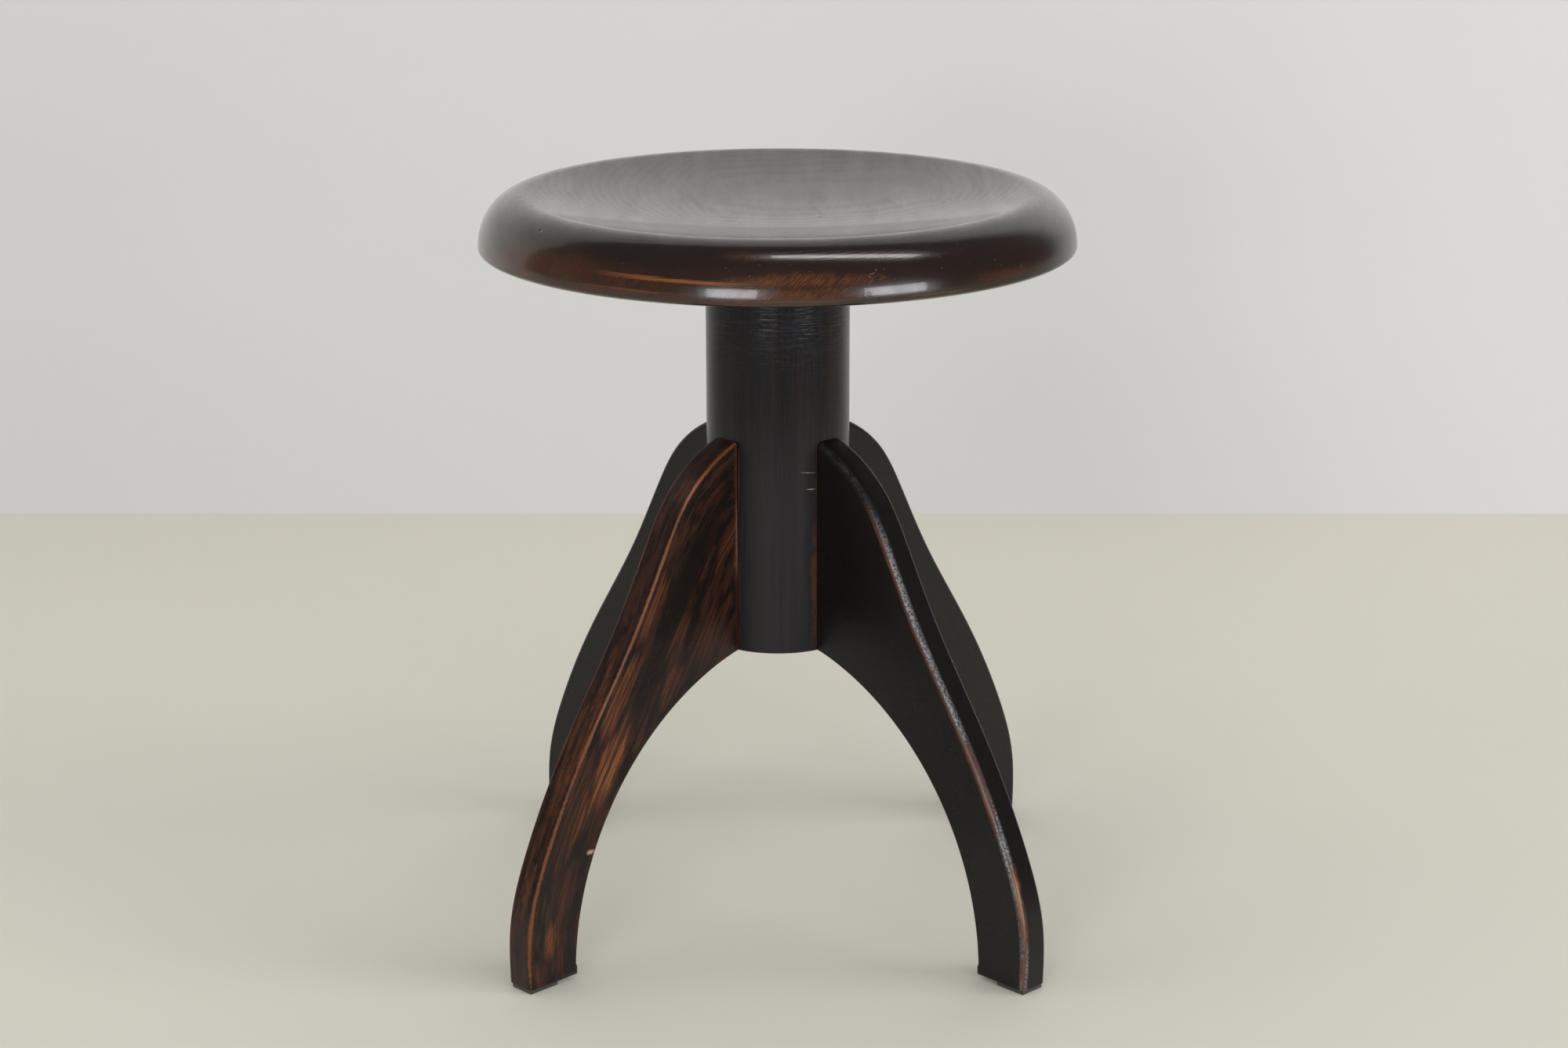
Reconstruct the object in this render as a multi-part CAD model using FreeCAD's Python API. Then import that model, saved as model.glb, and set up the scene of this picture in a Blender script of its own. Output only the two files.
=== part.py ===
import FreeCAD, Part
import math
import os

from FreeCAD import Vector

# An adjustable piano stool: a dished wooden seat on a coarse screw, in a turned column on four plank legs.
# Millimetres. +Z is up, the floor is z = 0 and the column's axis is the Z axis.
# The legs stand on the diagonals. The seat is at its lowest, which is where every joint starts.

# Seat
seat_diameter = 360.0
seat_thickness = 35.0
seat_underside_z = 418.5
seat_crest_radius = 154.0
seat_crest_rounding = 22.0
seat_dish_depth = 16.0
seat_rim_low_height = 4.0
seat_rim_tuck = 11.7
seat_board_width = 137.0
seat_first_joint_x = -43.0
glue_line = 0.1

# Column
column_diameter = 87.5
column_top_chamfer = 1.0
column_bottom_chamfer = 0.6
column_bore_diameter = 34.0
column_bore_end_space = 14.0

# Legs: the inner edges of opposite legs make one arch, which the column's lower rim touches
leg_thickness = 19.0
leg_edge_rounding = 2.5
leg_joint_height = 132.0
foot_width = 36.4
arch_radius = 179.0
arch_centre_z = 1.5
leg_end_overrun = 12.0
leg_corners = {"front_left": (-1, -1), "front_right": (1, -1), "rear_left": (-1, 1), "rear_right": (1, 1)}

# Foot pads
pad_thickness = 3.0
pad_length = 21.0
pad_edge_inset = 1.0

# Leg dowels
dowel_diameter = 10.0
dowel_length = 50.0
dowel_in_column = 20.0
dowel_chamfer = 1.0
dowel_clearance = 0.05
dowel_end_space = 1.0
dowel_first_height = 23.0
dowel_spacing = 38.0
dowel_count = 3

# Screw thread of the spindle and of its nut
thread_pitch = 8.0
thread_major_diameter = 26.0
thread_minor_diameter = 21.2
thread_root_width = 4.4
thread_crest_width = 2.6
thread_root_sink = 0.5
thread_clearance = 0.3
seat_rise = 112.0
rest_gap = 0.3

# Plate under the seat, and the spindle's riveted neck in it
plate_diameter = 120.0
plate_thickness = 4.0
plate_edge_chamfer = 0.6
neck_diameter = 16.0
neck_clearance = 0.05
rivet_head_diameter = 21.0
rivet_head_height = 3.0
rivet_recess_diameter = 26.0
rivet_recess_depth = 4.0

# Nut in the top of the column
nut_flange_diameter = 72.0
nut_flange_thickness = 5.0
nut_hub_diameter = 40.0
nut_length = 42.0
nut_seat_clearance = 0.1

# Loose washer and screw at the spindle's foot
washer_diameter = 31.0
washer_thickness = 3.0
washer_play = 0.3
foot_neck_diameter = 14.0
foot_neck_clearance = 0.3
stop_screw_diameter = 10.0
stop_screw_length = 20.0
stop_screw_head_across_flats = 17.0
stop_screw_head_height = 6.5
stop_screw_clearance = 0.05

# Countersunk wood screws
wood_screw_diameter = 4.5
wood_screw_head_diameter = 9.0
wood_screw_head_height = 2.4
wood_screw_point = 4.0
wood_screw_slot_width = 1.2
wood_screw_slot_depth = 1.0
wood_screw_clearance = 0.05
wood_screw_end_space = 1.0
plate_screw_count = 6
plate_screw_length = 16.0
plate_screw_circle = 98.0
nut_screw_count = 4
nut_screw_length = 30.0
nut_screw_circle = 56.0

# Overrun of every cutting tool past the face that it opens
overrun = 5.0

# Sizes that follow from the ones above
column_radius = column_diameter / 2
seat_radius = seat_diameter / 2
seat_crest_z = seat_underside_z + seat_thickness
plate_underside_z = seat_underside_z - plate_thickness
column_top_z = plate_underside_z - rest_gap
column_bottom_z = arch_centre_z + math.sqrt(arch_radius ** 2 - column_radius ** 2)
arch_foot_radius = math.sqrt(arch_radius ** 2 - (pad_thickness - arch_centre_z) ** 2)
leg_reach = arch_foot_radius + foot_width
leg_top_z = column_bottom_z + leg_joint_height
nut_bottom_z = column_top_z - nut_length
washer_top_z = nut_bottom_z - seat_rise - rest_gap
foot_shoulder_z = washer_top_z + washer_play
foot_neck_length = washer_thickness + 2 * washer_play
spindle_end_z = foot_shoulder_z - foot_neck_length
column_bore_floor_z = spindle_end_z - stop_screw_head_height - column_bore_end_space

# The leg's outer edge, from the foot up to the column: how far up between the foot and the leg's top, and how
# far out between the column and the foot
leg_top_slope_share = 0.3
leg_edge_shares = ((0.0, 1.0), (0.125, 0.995), (0.268, 0.912), (0.467, 0.722), (0.680, 0.475),
                   (0.829, 0.330), (0.912, 0.235), (0.971, 0.110), (1.0, 0.0))


def turned(outline):
    """The solid that a closed outline in the XZ plane makes when it turns about the Z axis."""
    face = Part.Face(Part.Wire(outline))
    return face.revolve(Vector(0, 0, 0), Vector(0, 0, 1), 360)


def line(start, end):
    return Part.LineSegment(start, end).toShape()


def at_rz(radius, z):
    return Vector(radius, 0, z)


def round_edges(solid):
    """The full circles among a solid's edges, such as the two rims of a cylinder."""
    return [edge for edge in solid.Edges if edge.isClosed()]


def quarter_ellipse(side, end):
    """A quarter of an ellipse in the XZ plane, upright at its outermost point and level at its end."""
    curve = Part.BezierCurve()
    curve.setPoles([side, at_rz(side.x, end.z), end])
    curve.setWeight(2, math.sqrt(0.5))
    return curve.toShape()


def seat_blank():
    """The turned seat before it is divided into its boards: dish, crest, full rim, tuck and flat underside."""
    rim_z = seat_underside_z + seat_rim_low_height
    crest = at_rz(seat_crest_radius, seat_crest_z)
    dish_and_crest = (seat_dish_depth ** 2 + seat_crest_radius ** 2) / (2 * seat_dish_depth)
    dish_radius = dish_and_crest - seat_crest_rounding
    dish_bottom = at_rz(0, seat_crest_z - seat_dish_depth)
    dish_centre_z = dish_bottom.z + dish_radius
    slope = math.asin(seat_crest_radius / dish_and_crest)
    tangent = at_rz(dish_radius * math.sin(slope), dish_centre_z - dish_radius * math.cos(slope))
    half_slope = slope / 2
    dish_middle = at_rz(dish_radius * math.sin(half_slope), dish_centre_z - dish_radius * math.cos(half_slope))
    crest_centre = at_rz(seat_crest_radius, seat_crest_z - seat_crest_rounding)
    crest_middle = crest_centre + Vector(-math.sin(half_slope), 0, math.cos(half_slope)) * seat_crest_rounding
    outermost = at_rz(seat_radius, rim_z)
    tuck_end = at_rz(seat_radius - seat_rim_tuck, seat_underside_z)
    outline = [
        Part.Arc(dish_bottom, dish_middle, tangent).toShape(),
        Part.Arc(tangent, crest_middle, crest).toShape(),
        quarter_ellipse(outermost, crest),
        quarter_ellipse(outermost, tuck_end),
        line(tuck_end, at_rz(0, seat_underside_z)),
        line(at_rz(0, seat_underside_z), dish_bottom),
    ]
    return turned(Part.__sortEdges__(outline))


def slab_between(x_low, x_high):
    """A block that holds the part of the seat between two planes across X."""
    depth = seat_diameter + 2 * overrun
    height = seat_thickness + 2 * overrun
    corner = Vector(x_low, -depth / 2, seat_underside_z - overrun)
    return Part.makeBox(x_high - x_low, depth, height, corner)


def ring_of(solid, count, circle_diameter):
    """Copies of one solid on a circle round the Z axis, spaced evenly, the first half a step from +X."""
    solids = []
    for index in range(count):
        placed = solid.copy()
        placed.translate(Vector(circle_diameter / 2, 0, 0))
        placed.rotate(Vector(0, 0, 0), Vector(0, 0, 1), 360 * (index + 0.5) / count)
        solids.append(placed)
    return solids


def wood_screw(length):
    """A slotted countersunk screw on the Z axis, its head's face at z = 0 and its point down."""
    shank = wood_screw_diameter / 2
    head = wood_screw_head_diameter / 2
    corners = [at_rz(0, 0), at_rz(head, 0), at_rz(shank, -wood_screw_head_height),
               at_rz(shank, wood_screw_point - length), at_rz(0, -length)]
    screw = turned(closed_polygon(corners))
    slot = Part.makeBox(wood_screw_head_diameter, wood_screw_slot_width, wood_screw_slot_depth,
                        Vector(-head, -wood_screw_slot_width / 2, -wood_screw_slot_depth))
    return screw.cut(slot)


def wood_screw_hole(length):
    """The pilot hole and countersink for that screw, open above z = 0."""
    shank = wood_screw_diameter / 2 + wood_screw_clearance
    head = wood_screw_head_diameter / 2 + wood_screw_clearance
    corners = [at_rz(0, overrun), at_rz(head, overrun), at_rz(head, 0), at_rz(shank, -wood_screw_head_height),
               at_rz(shank, -length - wood_screw_end_space), at_rz(0, -length - wood_screw_end_space)]
    return turned(closed_polygon(corners))


def closed_polygon(corners):
    return Part.makePolygon(corners + [corners[0]]).Edges


def plate_screw_places(solid):
    """Screws or holes under the seat: heads down, flush with the underside of the plate."""
    flipped = solid.mirror(Vector(0, 0, 0), Vector(0, 0, 1))
    flipped.translate(Vector(0, 0, plate_underside_z))
    return ring_of(flipped, plate_screw_count, plate_screw_circle)


def nut_screw_places(solid):
    """Screws or holes in the nut's flange: heads up, flush with its top."""
    placed = solid.copy()
    placed.translate(Vector(0, 0, column_top_z))
    return ring_of(placed, nut_screw_count, nut_screw_circle)


def seat_boards():
    blank = seat_blank()
    recess = Part.makeCylinder(rivet_recess_diameter / 2, rivet_recess_depth + overrun,
                               Vector(0, 0, seat_underside_z - overrun))
    blank = blank.cut(recess)
    for hole in plate_screw_places(wood_screw_hole(plate_screw_length)):
        blank = blank.cut(hole)
    first = seat_first_joint_x
    second = first + seat_board_width
    edge = seat_radius + overrun
    return {
        "seat_board_left": blank.common(slab_between(-edge, first - glue_line / 2)),
        "seat_board_middle": blank.common(slab_between(first + glue_line / 2, second - glue_line / 2)),
        "seat_board_right": blank.common(slab_between(second + glue_line / 2, edge)),
    }


def seat_plate():
    plate = Part.makeCylinder(plate_diameter / 2, plate_thickness, Vector(0, 0, plate_underside_z))
    plate = plate.makeChamfer(plate_edge_chamfer, round_edges(plate))
    bore = Part.makeCylinder(neck_diameter / 2 + neck_clearance, plate_thickness + 2 * overrun,
                             Vector(0, 0, plate_underside_z - overrun))
    plate = plate.cut(bore)
    for hole in plate_screw_places(wood_screw_hole(plate_screw_length)):
        plate = plate.cut(hole)
    return plate


def thread_core(clearance, low_z, high_z):
    """A solid single-start right-hand screw between two heights: a plain core with a ridge wound on it.

    The ridge's direction depends on height alone, so the spindle and the space in its nut are always in step.
    """
    minor = thread_minor_diameter / 2 + clearance
    major = thread_major_diameter / 2 + clearance
    half_crest = thread_crest_width / 2 + clearance
    half_root = thread_root_width / 2 + clearance
    half_sunk = half_root + (half_root - half_crest) * thread_root_sink / (major - minor)
    ridge_section = Part.makePolygon([
        at_rz(minor - thread_root_sink, -half_sunk),
        at_rz(major, -half_crest),
        at_rz(major, half_crest),
        at_rz(minor - thread_root_sink, half_sunk),
        at_rz(minor - thread_root_sink, -half_sunk),
    ])
    length = high_z - low_z
    start_z = low_z - thread_pitch
    helix = Part.Wire(Part.makeLongHelix(thread_pitch, length + 2 * thread_pitch, minor, 0, False))
    ridge = helix.makePipeShell([ridge_section], True, True)
    ridge.rotate(Vector(0, 0, 0), Vector(0, 0, 1), 360 * (start_z - nut_bottom_z) / thread_pitch)
    ridge.translate(Vector(0, 0, start_z))
    core = Part.makeCylinder(minor, length, Vector(0, 0, low_z))
    between_ends = Part.makeCylinder(major + overrun, length, Vector(0, 0, low_z))
    return core.fuse(ridge).common(between_ends)


def polar(radius, degrees):
    angle = math.radians(degrees)
    return Vector(radius * math.cos(angle), radius * math.sin(angle), 0)


def spindle():
    neck = Part.makeCylinder(neck_diameter / 2, plate_thickness, Vector(0, 0, plate_underside_z))
    head = Part.makeCylinder(rivet_head_diameter / 2, rivet_head_height, Vector(0, 0, seat_underside_z))
    foot = Part.makeCylinder(foot_neck_diameter / 2, foot_neck_length, Vector(0, 0, spindle_end_z))
    rod = thread_core(0.0, foot_shoulder_z, plate_underside_z)
    rod = rod.fuse([neck, head, foot])
    hole = Part.makeCylinder(stop_screw_diameter / 2 + stop_screw_clearance, stop_screw_length + 2 * overrun,
                             Vector(0, 0, spindle_end_z - overrun))
    return rod.cut(hole).removeSplitter()


def spindle_nut():
    flange_z = column_top_z - nut_flange_thickness
    flange = Part.makeCylinder(nut_flange_diameter / 2, nut_flange_thickness, Vector(0, 0, flange_z))
    hub = Part.makeCylinder(nut_hub_diameter / 2, nut_length, Vector(0, 0, nut_bottom_z))
    nut = flange.fuse(hub).removeSplitter()
    nut = nut.cut(thread_core(thread_clearance, nut_bottom_z - overrun, column_top_z + overrun))
    for hole in nut_screw_places(wood_screw_hole(nut_screw_length)):
        nut = nut.cut(hole)
    return nut


def stop_washer():
    blank = Part.makeCylinder(washer_diameter / 2, washer_thickness,
                              Vector(0, 0, washer_top_z - washer_thickness))
    hole = Part.makeCylinder(foot_neck_diameter / 2 + foot_neck_clearance, washer_thickness + 2 * overrun,
                             Vector(0, 0, washer_top_z - washer_thickness - overrun))
    return blank.cut(hole)


def stop_screw():
    across_corners = stop_screw_head_across_flats / math.cos(math.radians(30))
    corners = [polar(across_corners / 2, 60 * index) for index in range(6)]
    head = Part.Face(Part.Wire(closed_polygon(corners))).extrude(Vector(0, 0, stop_screw_head_height))
    head.translate(Vector(0, 0, spindle_end_z - stop_screw_head_height))
    shank = Part.makeCylinder(stop_screw_diameter / 2, stop_screw_length, Vector(0, 0, spindle_end_z))
    return head.fuse(shank).removeSplitter()


def column():
    height = column_top_z - column_bottom_z
    blank = Part.makeCylinder(column_radius, height, Vector(0, 0, column_bottom_z))
    top_rim = max(round_edges(blank), key=lambda edge: edge.CenterOfMass.z)
    blank = blank.makeChamfer(column_top_chamfer, [top_rim])
    bottom_rim = min(round_edges(blank), key=lambda edge: edge.CenterOfMass.z)
    blank = blank.makeChamfer(column_bottom_chamfer, [bottom_rim])
    bore = Part.makeCylinder(column_bore_diameter / 2, column_top_z + overrun - column_bore_floor_z,
                             Vector(0, 0, column_bore_floor_z))
    flange_seat = Part.makeCylinder(nut_flange_diameter / 2 + nut_seat_clearance, nut_flange_thickness + overrun,
                                    Vector(0, 0, column_top_z - nut_flange_thickness))
    hub_seat = Part.makeCylinder(nut_hub_diameter / 2 + nut_seat_clearance, nut_length + overrun,
                                 Vector(0, 0, nut_bottom_z))
    blank = blank.cut([bore, flange_seat, hub_seat])
    blank = blank.cut(nut_screw_places(wood_screw_hole(nut_screw_length)))
    for corner in leg_corners.values():
        blank = blank.cut(dowels_at(corner, dowel_clearance, dowel_end_space, 0.0))
    return blank


def at_corner(shape, corner):
    """A shape made along +X, turned to a leg's corner, which is given by the signs of its X and Y."""
    placed = shape.copy()
    placed.rotate(Vector(0, 0, 0), Vector(0, 0, 1), math.degrees(math.atan2(corner[1], corner[0])))
    return placed


def dowels_at(corner, clearance, end_space, chamfer):
    """The dowels of one leg, or with a clearance the holes for them."""
    solids = []
    for index in range(dowel_count):
        z = column_bottom_z + dowel_first_height + dowel_spacing * index
        start = Vector(column_radius - dowel_in_column - end_space, 0, z)
        peg = Part.makeCylinder(dowel_diameter / 2 + clearance, dowel_length + 2 * end_space, start,
                                Vector(1, 0, 0))
        if chamfer > 0:
            peg = peg.makeChamfer(chamfer, round_edges(peg))
        solids.append(at_corner(peg, corner))
    return solids


def leg_point(up_share, out_share):
    """A point of the leg's outer edge, between the foot's outer corner and the leg's top on the column."""
    radius = column_radius + out_share * (leg_reach - column_radius)
    return at_rz(radius, pad_thickness + up_share * (leg_top_z - pad_thickness))


def plank():
    """One leg along +X, before it is fitted to the column: outline, thickness and rounded long edges."""
    inner_radius = column_radius - leg_end_overrun
    edge_points = [leg_point(up, out) for up, out in leg_edge_shares]
    # The edge runs on into the column, so that the cut for the column leaves its rounding whole
    edge_points.append(at_rz(inner_radius, leg_top_z + leg_end_overrun * leg_top_slope_share))
    outer = Part.BSplineCurve()
    outer.interpolate(edge_points)
    arch_centre = at_rz(0, arch_centre_z)
    arch_foot = at_rz(arch_foot_radius, pad_thickness)
    arch_top = at_rz(inner_radius, arch_centre_z + math.sqrt(arch_radius ** 2 - inner_radius ** 2))
    arch_middle = arch_centre + ((arch_foot + arch_top) / 2 - arch_centre).normalize() * arch_radius
    edges = [
        outer.toShape(),
        line(edge_points[-1], arch_top),
        Part.Arc(arch_top, arch_middle, arch_foot).toShape(),
        line(arch_foot, edge_points[0]),
    ]
    face = Part.Face(Part.Wire(edges))
    face.translate(Vector(0, -leg_thickness / 2, 0))
    blank = face.extrude(Vector(0, leg_thickness, 0))
    long_edges = [edge for edge in blank.Edges if not isinstance(edge.Curve, Part.Line)]
    return blank.makeFillet(leg_edge_rounding, long_edges)


def legs():
    blank = plank()
    socket = Part.makeCylinder(column_radius + glue_line, leg_top_z + 2 * overrun, Vector(0, 0, -overrun))
    fitted = blank.cut(socket)
    solids = {}
    for name, corner in leg_corners.items():
        leg = at_corner(fitted, corner)
        solids["leg_" + name] = leg.cut(dowels_at(corner, dowel_clearance, dowel_end_space, 0.0))
        solids["leg_dowels_" + name] = Part.makeCompound(dowels_at(corner, 0.0, 0.0, dowel_chamfer))
        solids["foot_pad_" + name] = at_corner(foot_pad(), corner)
    return solids


def foot_pad():
    outer = leg_reach - pad_edge_inset
    width = leg_thickness - 2 * pad_edge_inset
    return Part.makeBox(pad_length, width, pad_thickness, Vector(outer - pad_length, -width / 2, 0))


def all_pieces():
    pieces = dict(seat_boards())
    pieces["seat_plate"] = seat_plate()
    pieces["seat_plate_screws"] = Part.makeCompound(plate_screw_places(wood_screw(plate_screw_length)))
    pieces["spindle"] = spindle()
    pieces["stop_washer"] = stop_washer()
    pieces["stop_screw"] = stop_screw()
    pieces["spindle_nut"] = spindle_nut()
    pieces["spindle_nut_screws"] = Part.makeCompound(nut_screw_places(wood_screw(nut_screw_length)))
    pieces["column"] = column()
    pieces.update(legs())
    return pieces


def main():
    os.makedirs("parts", exist_ok=True)
    for name, shape in all_pieces().items():
        shape.exportStep("parts/" + name + ".step")
        print(name, len(shape.Solids), "solids", round(shape.Volume), "mm3", "valid", shape.isValid())


main()
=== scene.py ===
# %% [markdown]
# An adjustable piano stool. Its round dished seat turns up and down on a coarse screw, which is hidden in a
# turned column that stands on four plank legs. The seat is varnished dark over bare wood and years of hands
# and shoes have rubbed the stain thin. The construction comes from a CAD model, which is loaded first and
# never moved. This script gives the wood its softened shapes, and gives every surface its finish.

import math

import bmesh
import bpy
import numpy as np
from mathutils import Matrix, Vector


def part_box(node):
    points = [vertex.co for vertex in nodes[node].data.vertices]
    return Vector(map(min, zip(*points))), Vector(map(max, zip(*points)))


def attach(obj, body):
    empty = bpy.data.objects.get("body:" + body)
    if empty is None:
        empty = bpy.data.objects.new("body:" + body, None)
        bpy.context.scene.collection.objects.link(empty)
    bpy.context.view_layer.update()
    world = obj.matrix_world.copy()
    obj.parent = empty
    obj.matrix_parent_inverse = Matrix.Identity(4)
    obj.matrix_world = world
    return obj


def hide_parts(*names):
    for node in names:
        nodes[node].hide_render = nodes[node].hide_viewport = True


MM = 0.001

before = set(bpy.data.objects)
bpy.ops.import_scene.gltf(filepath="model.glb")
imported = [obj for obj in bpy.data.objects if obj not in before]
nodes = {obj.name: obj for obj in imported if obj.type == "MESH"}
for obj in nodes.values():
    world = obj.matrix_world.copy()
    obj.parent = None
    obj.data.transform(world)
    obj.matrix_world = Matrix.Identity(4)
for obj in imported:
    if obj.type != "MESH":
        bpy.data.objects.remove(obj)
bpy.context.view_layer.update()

# %% [markdown]
# The camera repeats the photograph's: a long lens at sitting height, tilted a little down. Its place and tilt
# come from a fit of the stool's outlines, so the numbers are odd ones. Building the matrix from three plain
# turns keeps each of them readable: turn about the vertical, tilt, and a very small roll.

# %% Camera
CAMERA_PLACE = (0.01862, -1.89815, 0.78974)
CAMERA_LENS_MM = 73.353
CAMERA_TURN = math.radians(0.454)
CAMERA_TILT_DOWN = math.radians(16.008)
CAMERA_ROLL = math.radians(-0.118)

camera_data = bpy.data.cameras.new("photo_camera")
camera_data.lens = CAMERA_LENS_MM
camera = bpy.data.objects.new("photo_camera", camera_data)
bpy.context.scene.collection.objects.link(camera)
turn = Matrix.Rotation(CAMERA_TURN, 4, "Z")
tilt = Matrix.Rotation(math.pi / 2 - CAMERA_TILT_DOWN, 4, "X")
roll = Matrix.Rotation(CAMERA_ROLL, 4, "Z")
camera.matrix_world = Matrix.Translation(CAMERA_PLACE) @ turn @ tilt @ roll
bpy.context.scene.camera = camera
bpy.context.scene.view_settings.view_transform = "Standard"
print("camera looks along", camera.matrix_world.to_3x3() @ Vector((0, 0, -1)))

# %% [markdown]
# Blender's operators act on whatever is selected, so each one here starts from a known selection. These
# helpers pick or add one object, enter and leave edit mode, and select edges by a test on their place, as a
# person would with a box select.

# %% Helpers for modelling
def pick(obj):
    """Selects one object and nothing else."""
    bpy.ops.object.select_all(action="DESELECT")
    obj.select_set(True)
    bpy.context.view_layer.objects.active = obj


def open_mesh(obj):
    pick(obj)
    bpy.ops.object.mode_set(mode="EDIT")
    bpy.ops.mesh.select_all(action="SELECT")


def close_mesh():
    bpy.ops.object.mode_set(mode="OBJECT")


def choose_edges(obj, test):
    """In edit mode, selects the edges that pass the test, and no others."""
    bpy.ops.mesh.select_mode(type="EDGE")
    bpy.ops.mesh.select_all(action="DESELECT")
    mesh = bmesh.from_edit_mesh(obj.data)
    chosen = [edge for edge in mesh.edges if test(edge)]
    for edge in chosen:
        edge.select_set(True)
    mesh.select_flush_mode()
    bmesh.update_edit_mesh(obj.data)
    return len(chosen)


def add_shape(operator, name, scale=(1, 1, 1), **settings):
    """Adds one of Blender's own shapes, named and scaled, with its mesh at its true place and size."""
    bpy.ops.object.select_all(action="DESELECT")
    operator(**settings)
    shape = bpy.context.object
    shape.name = name
    shape.scale = scale
    bpy.ops.object.transform_apply(location=True, rotation=True, scale=True)
    return shape


def copy_of(obj, name):
    """A second object with a mesh of its own."""
    pick(obj)
    bpy.ops.object.duplicate()
    copied = bpy.context.object
    copied.name = name
    return copied


def apply_modifier(obj, kind, **settings):
    pick(obj)
    modifier = obj.modifiers.new(kind.lower(), kind)
    for name, value in settings.items():
        setattr(modifier, name, value)
    bpy.ops.object.modifier_apply(modifier=modifier.name)


def discard(obj):
    bpy.data.objects.remove(obj, do_unlink=True)


CRISP_SEAT, CRISP_LEG, CRISP_PAD, CRISP_CAD = 35, 40, 50, 32


def smooth(obj, degrees):
    """Smooth shading, but crisp across edges that turn by more than this."""
    pick(obj)
    bpy.ops.object.shade_smooth_by_angle(angle=math.radians(degrees))


# %% [markdown]
# Pegs and screws pass from one piece of wood into the next, and each piece really is bored for them. The
# hole is cut with a copy of the peg itself, swollen by the clearance: the CAD mesh is loose triangles, so the
# copy is merged first, and then a Boolean modifier takes it away from the wood.

# %% Boring for pegs and screws
MERGE_DISTANCE = 0.001 * MM
BORE_CLEARANCE = 0.05 * MM


def bore(wood, *pegs):
    for peg in pegs:
        drill = copy_of(nodes[peg], "drill")
        drill.parent = None
        open_mesh(drill)
        bpy.ops.mesh.remove_doubles(threshold=MERGE_DISTANCE)
        bpy.ops.transform.shrink_fatten(value=BORE_CLEARANCE)
        close_mesh()
        apply_modifier(wood, "BOOLEAN", object=drill, operation="DIFFERENCE", solver="EXACT")
        discard(drill)


# %% [markdown]
# The seat was turned on a lathe: a shallow dish, a rounded crest and a full rim that tucks in below. So it is
# modelled as a lathe does it. One vertex is extruded along the half outline, and the spin operator sweeps
# that line round the axis. The crest and rim are arcs and quarter ellipses, worked out from a few radii.

# %% Seat outline
board_names = ("seat_board_left", "seat_board_middle", "seat_board_right")
SEAT_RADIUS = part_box("seat_board_right")[1].x
SEAT_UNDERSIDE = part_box("seat_board_middle")[0].z
SEAT_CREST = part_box("seat_board_middle")[1].z
CREST_RADIUS = 154 * MM
CREST_ROUNDING = 22 * MM
DISH_DEPTH = 16 * MM
RIM_LOW_HEIGHT = 4 * MM
RIM_TUCK = 11.7 * MM
RECESS_RADIUS = 13 * MM
RECESS_DEPTH = 4 * MM
RIM_STEPS, CREST_STEPS, DISH_STEPS = 20, 4, 24


def ellipse_arc(centre, half_width, half_height, start, end, steps):
    """Points (radius, height) along an ellipse, from one angle to another, both included."""
    return [(centre[0] + half_width * math.cos(angle), centre[1] + half_height * math.sin(angle))
            for angle in np.radians(np.linspace(start, end, steps + 1))]


def seat_outline():
    rim_height = SEAT_UNDERSIDE + RIM_LOW_HEIGHT
    dish_and_crest = (DISH_DEPTH ** 2 + CREST_RADIUS ** 2) / (2 * DISH_DEPTH)
    dish_radius = dish_and_crest - CREST_ROUNDING
    slope = math.degrees(math.asin(CREST_RADIUS / dish_and_crest))
    tuck_end = SEAT_RADIUS - RIM_TUCK
    outline = [(0, SEAT_UNDERSIDE + RECESS_DEPTH), (RECESS_RADIUS, SEAT_UNDERSIDE + RECESS_DEPTH),
               (RECESS_RADIUS, SEAT_UNDERSIDE)]
    outline += ellipse_arc((tuck_end, rim_height), RIM_TUCK, RIM_LOW_HEIGHT, -90, 0, RIM_STEPS // 2)
    outline += ellipse_arc((CREST_RADIUS, rim_height), SEAT_RADIUS - CREST_RADIUS, SEAT_CREST - rim_height,
                           0, 90, RIM_STEPS)[1:]
    outline += ellipse_arc((CREST_RADIUS, SEAT_CREST - CREST_ROUNDING), CREST_ROUNDING, CREST_ROUNDING,
                           90, 90 + slope, CREST_STEPS)[1:]
    outline += ellipse_arc((0, SEAT_CREST - DISH_DEPTH + dish_radius), dish_radius, dish_radius,
                           slope - 90, -90, DISH_STEPS)[1:]
    return outline


seat_points = seat_outline()
print("seat outline has", len(seat_points), "points, radius", round(SEAT_RADIUS / MM, 2), "mm")

# %% Turning a solid from its half outline
TURNING_STEPS = 288


def turned(name, outline, steps):
    """A closed solid of revolution about Z from (radius, height) points that start and end on the axis."""
    first_place = (outline[0][0], 0, outline[0][1])
    solid = add_shape(bpy.ops.mesh.primitive_plane_add, name, size=MM, location=first_place)
    open_mesh(solid)
    bpy.ops.mesh.merge(type="CENTER")
    for (radius, height), (next_radius, next_height) in zip(outline, outline[1:]):
        step = (next_radius - radius, 0, next_height - height)
        bpy.ops.mesh.extrude_vertices_move(TRANSFORM_OT_translate={"value": step})
    bpy.ops.mesh.select_all(action="SELECT")
    bpy.ops.mesh.spin(steps=steps, angle=2 * math.pi, center=(0, 0, 0), axis=(0, 0, 1))
    bpy.ops.mesh.select_all(action="SELECT")
    bpy.ops.mesh.remove_doubles(threshold=MERGE_DISTANCE)
    bpy.ops.mesh.normals_make_consistent(inside=False)
    close_mesh()
    return solid


whole_seat = turned("whole_seat", seat_points, TURNING_STEPS)
print("turned seat has", len(whole_seat.data.polygons), "faces")

# %% [markdown]
# The disc was glued up from three boards before it was turned, and the glue joints run straight across it.
# Three copies of the turned disc are each cut back to one board with the bisect operator, which also caps
# the cut. The cuts stand at the CAD joints, with a hairline left between the boards.

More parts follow.
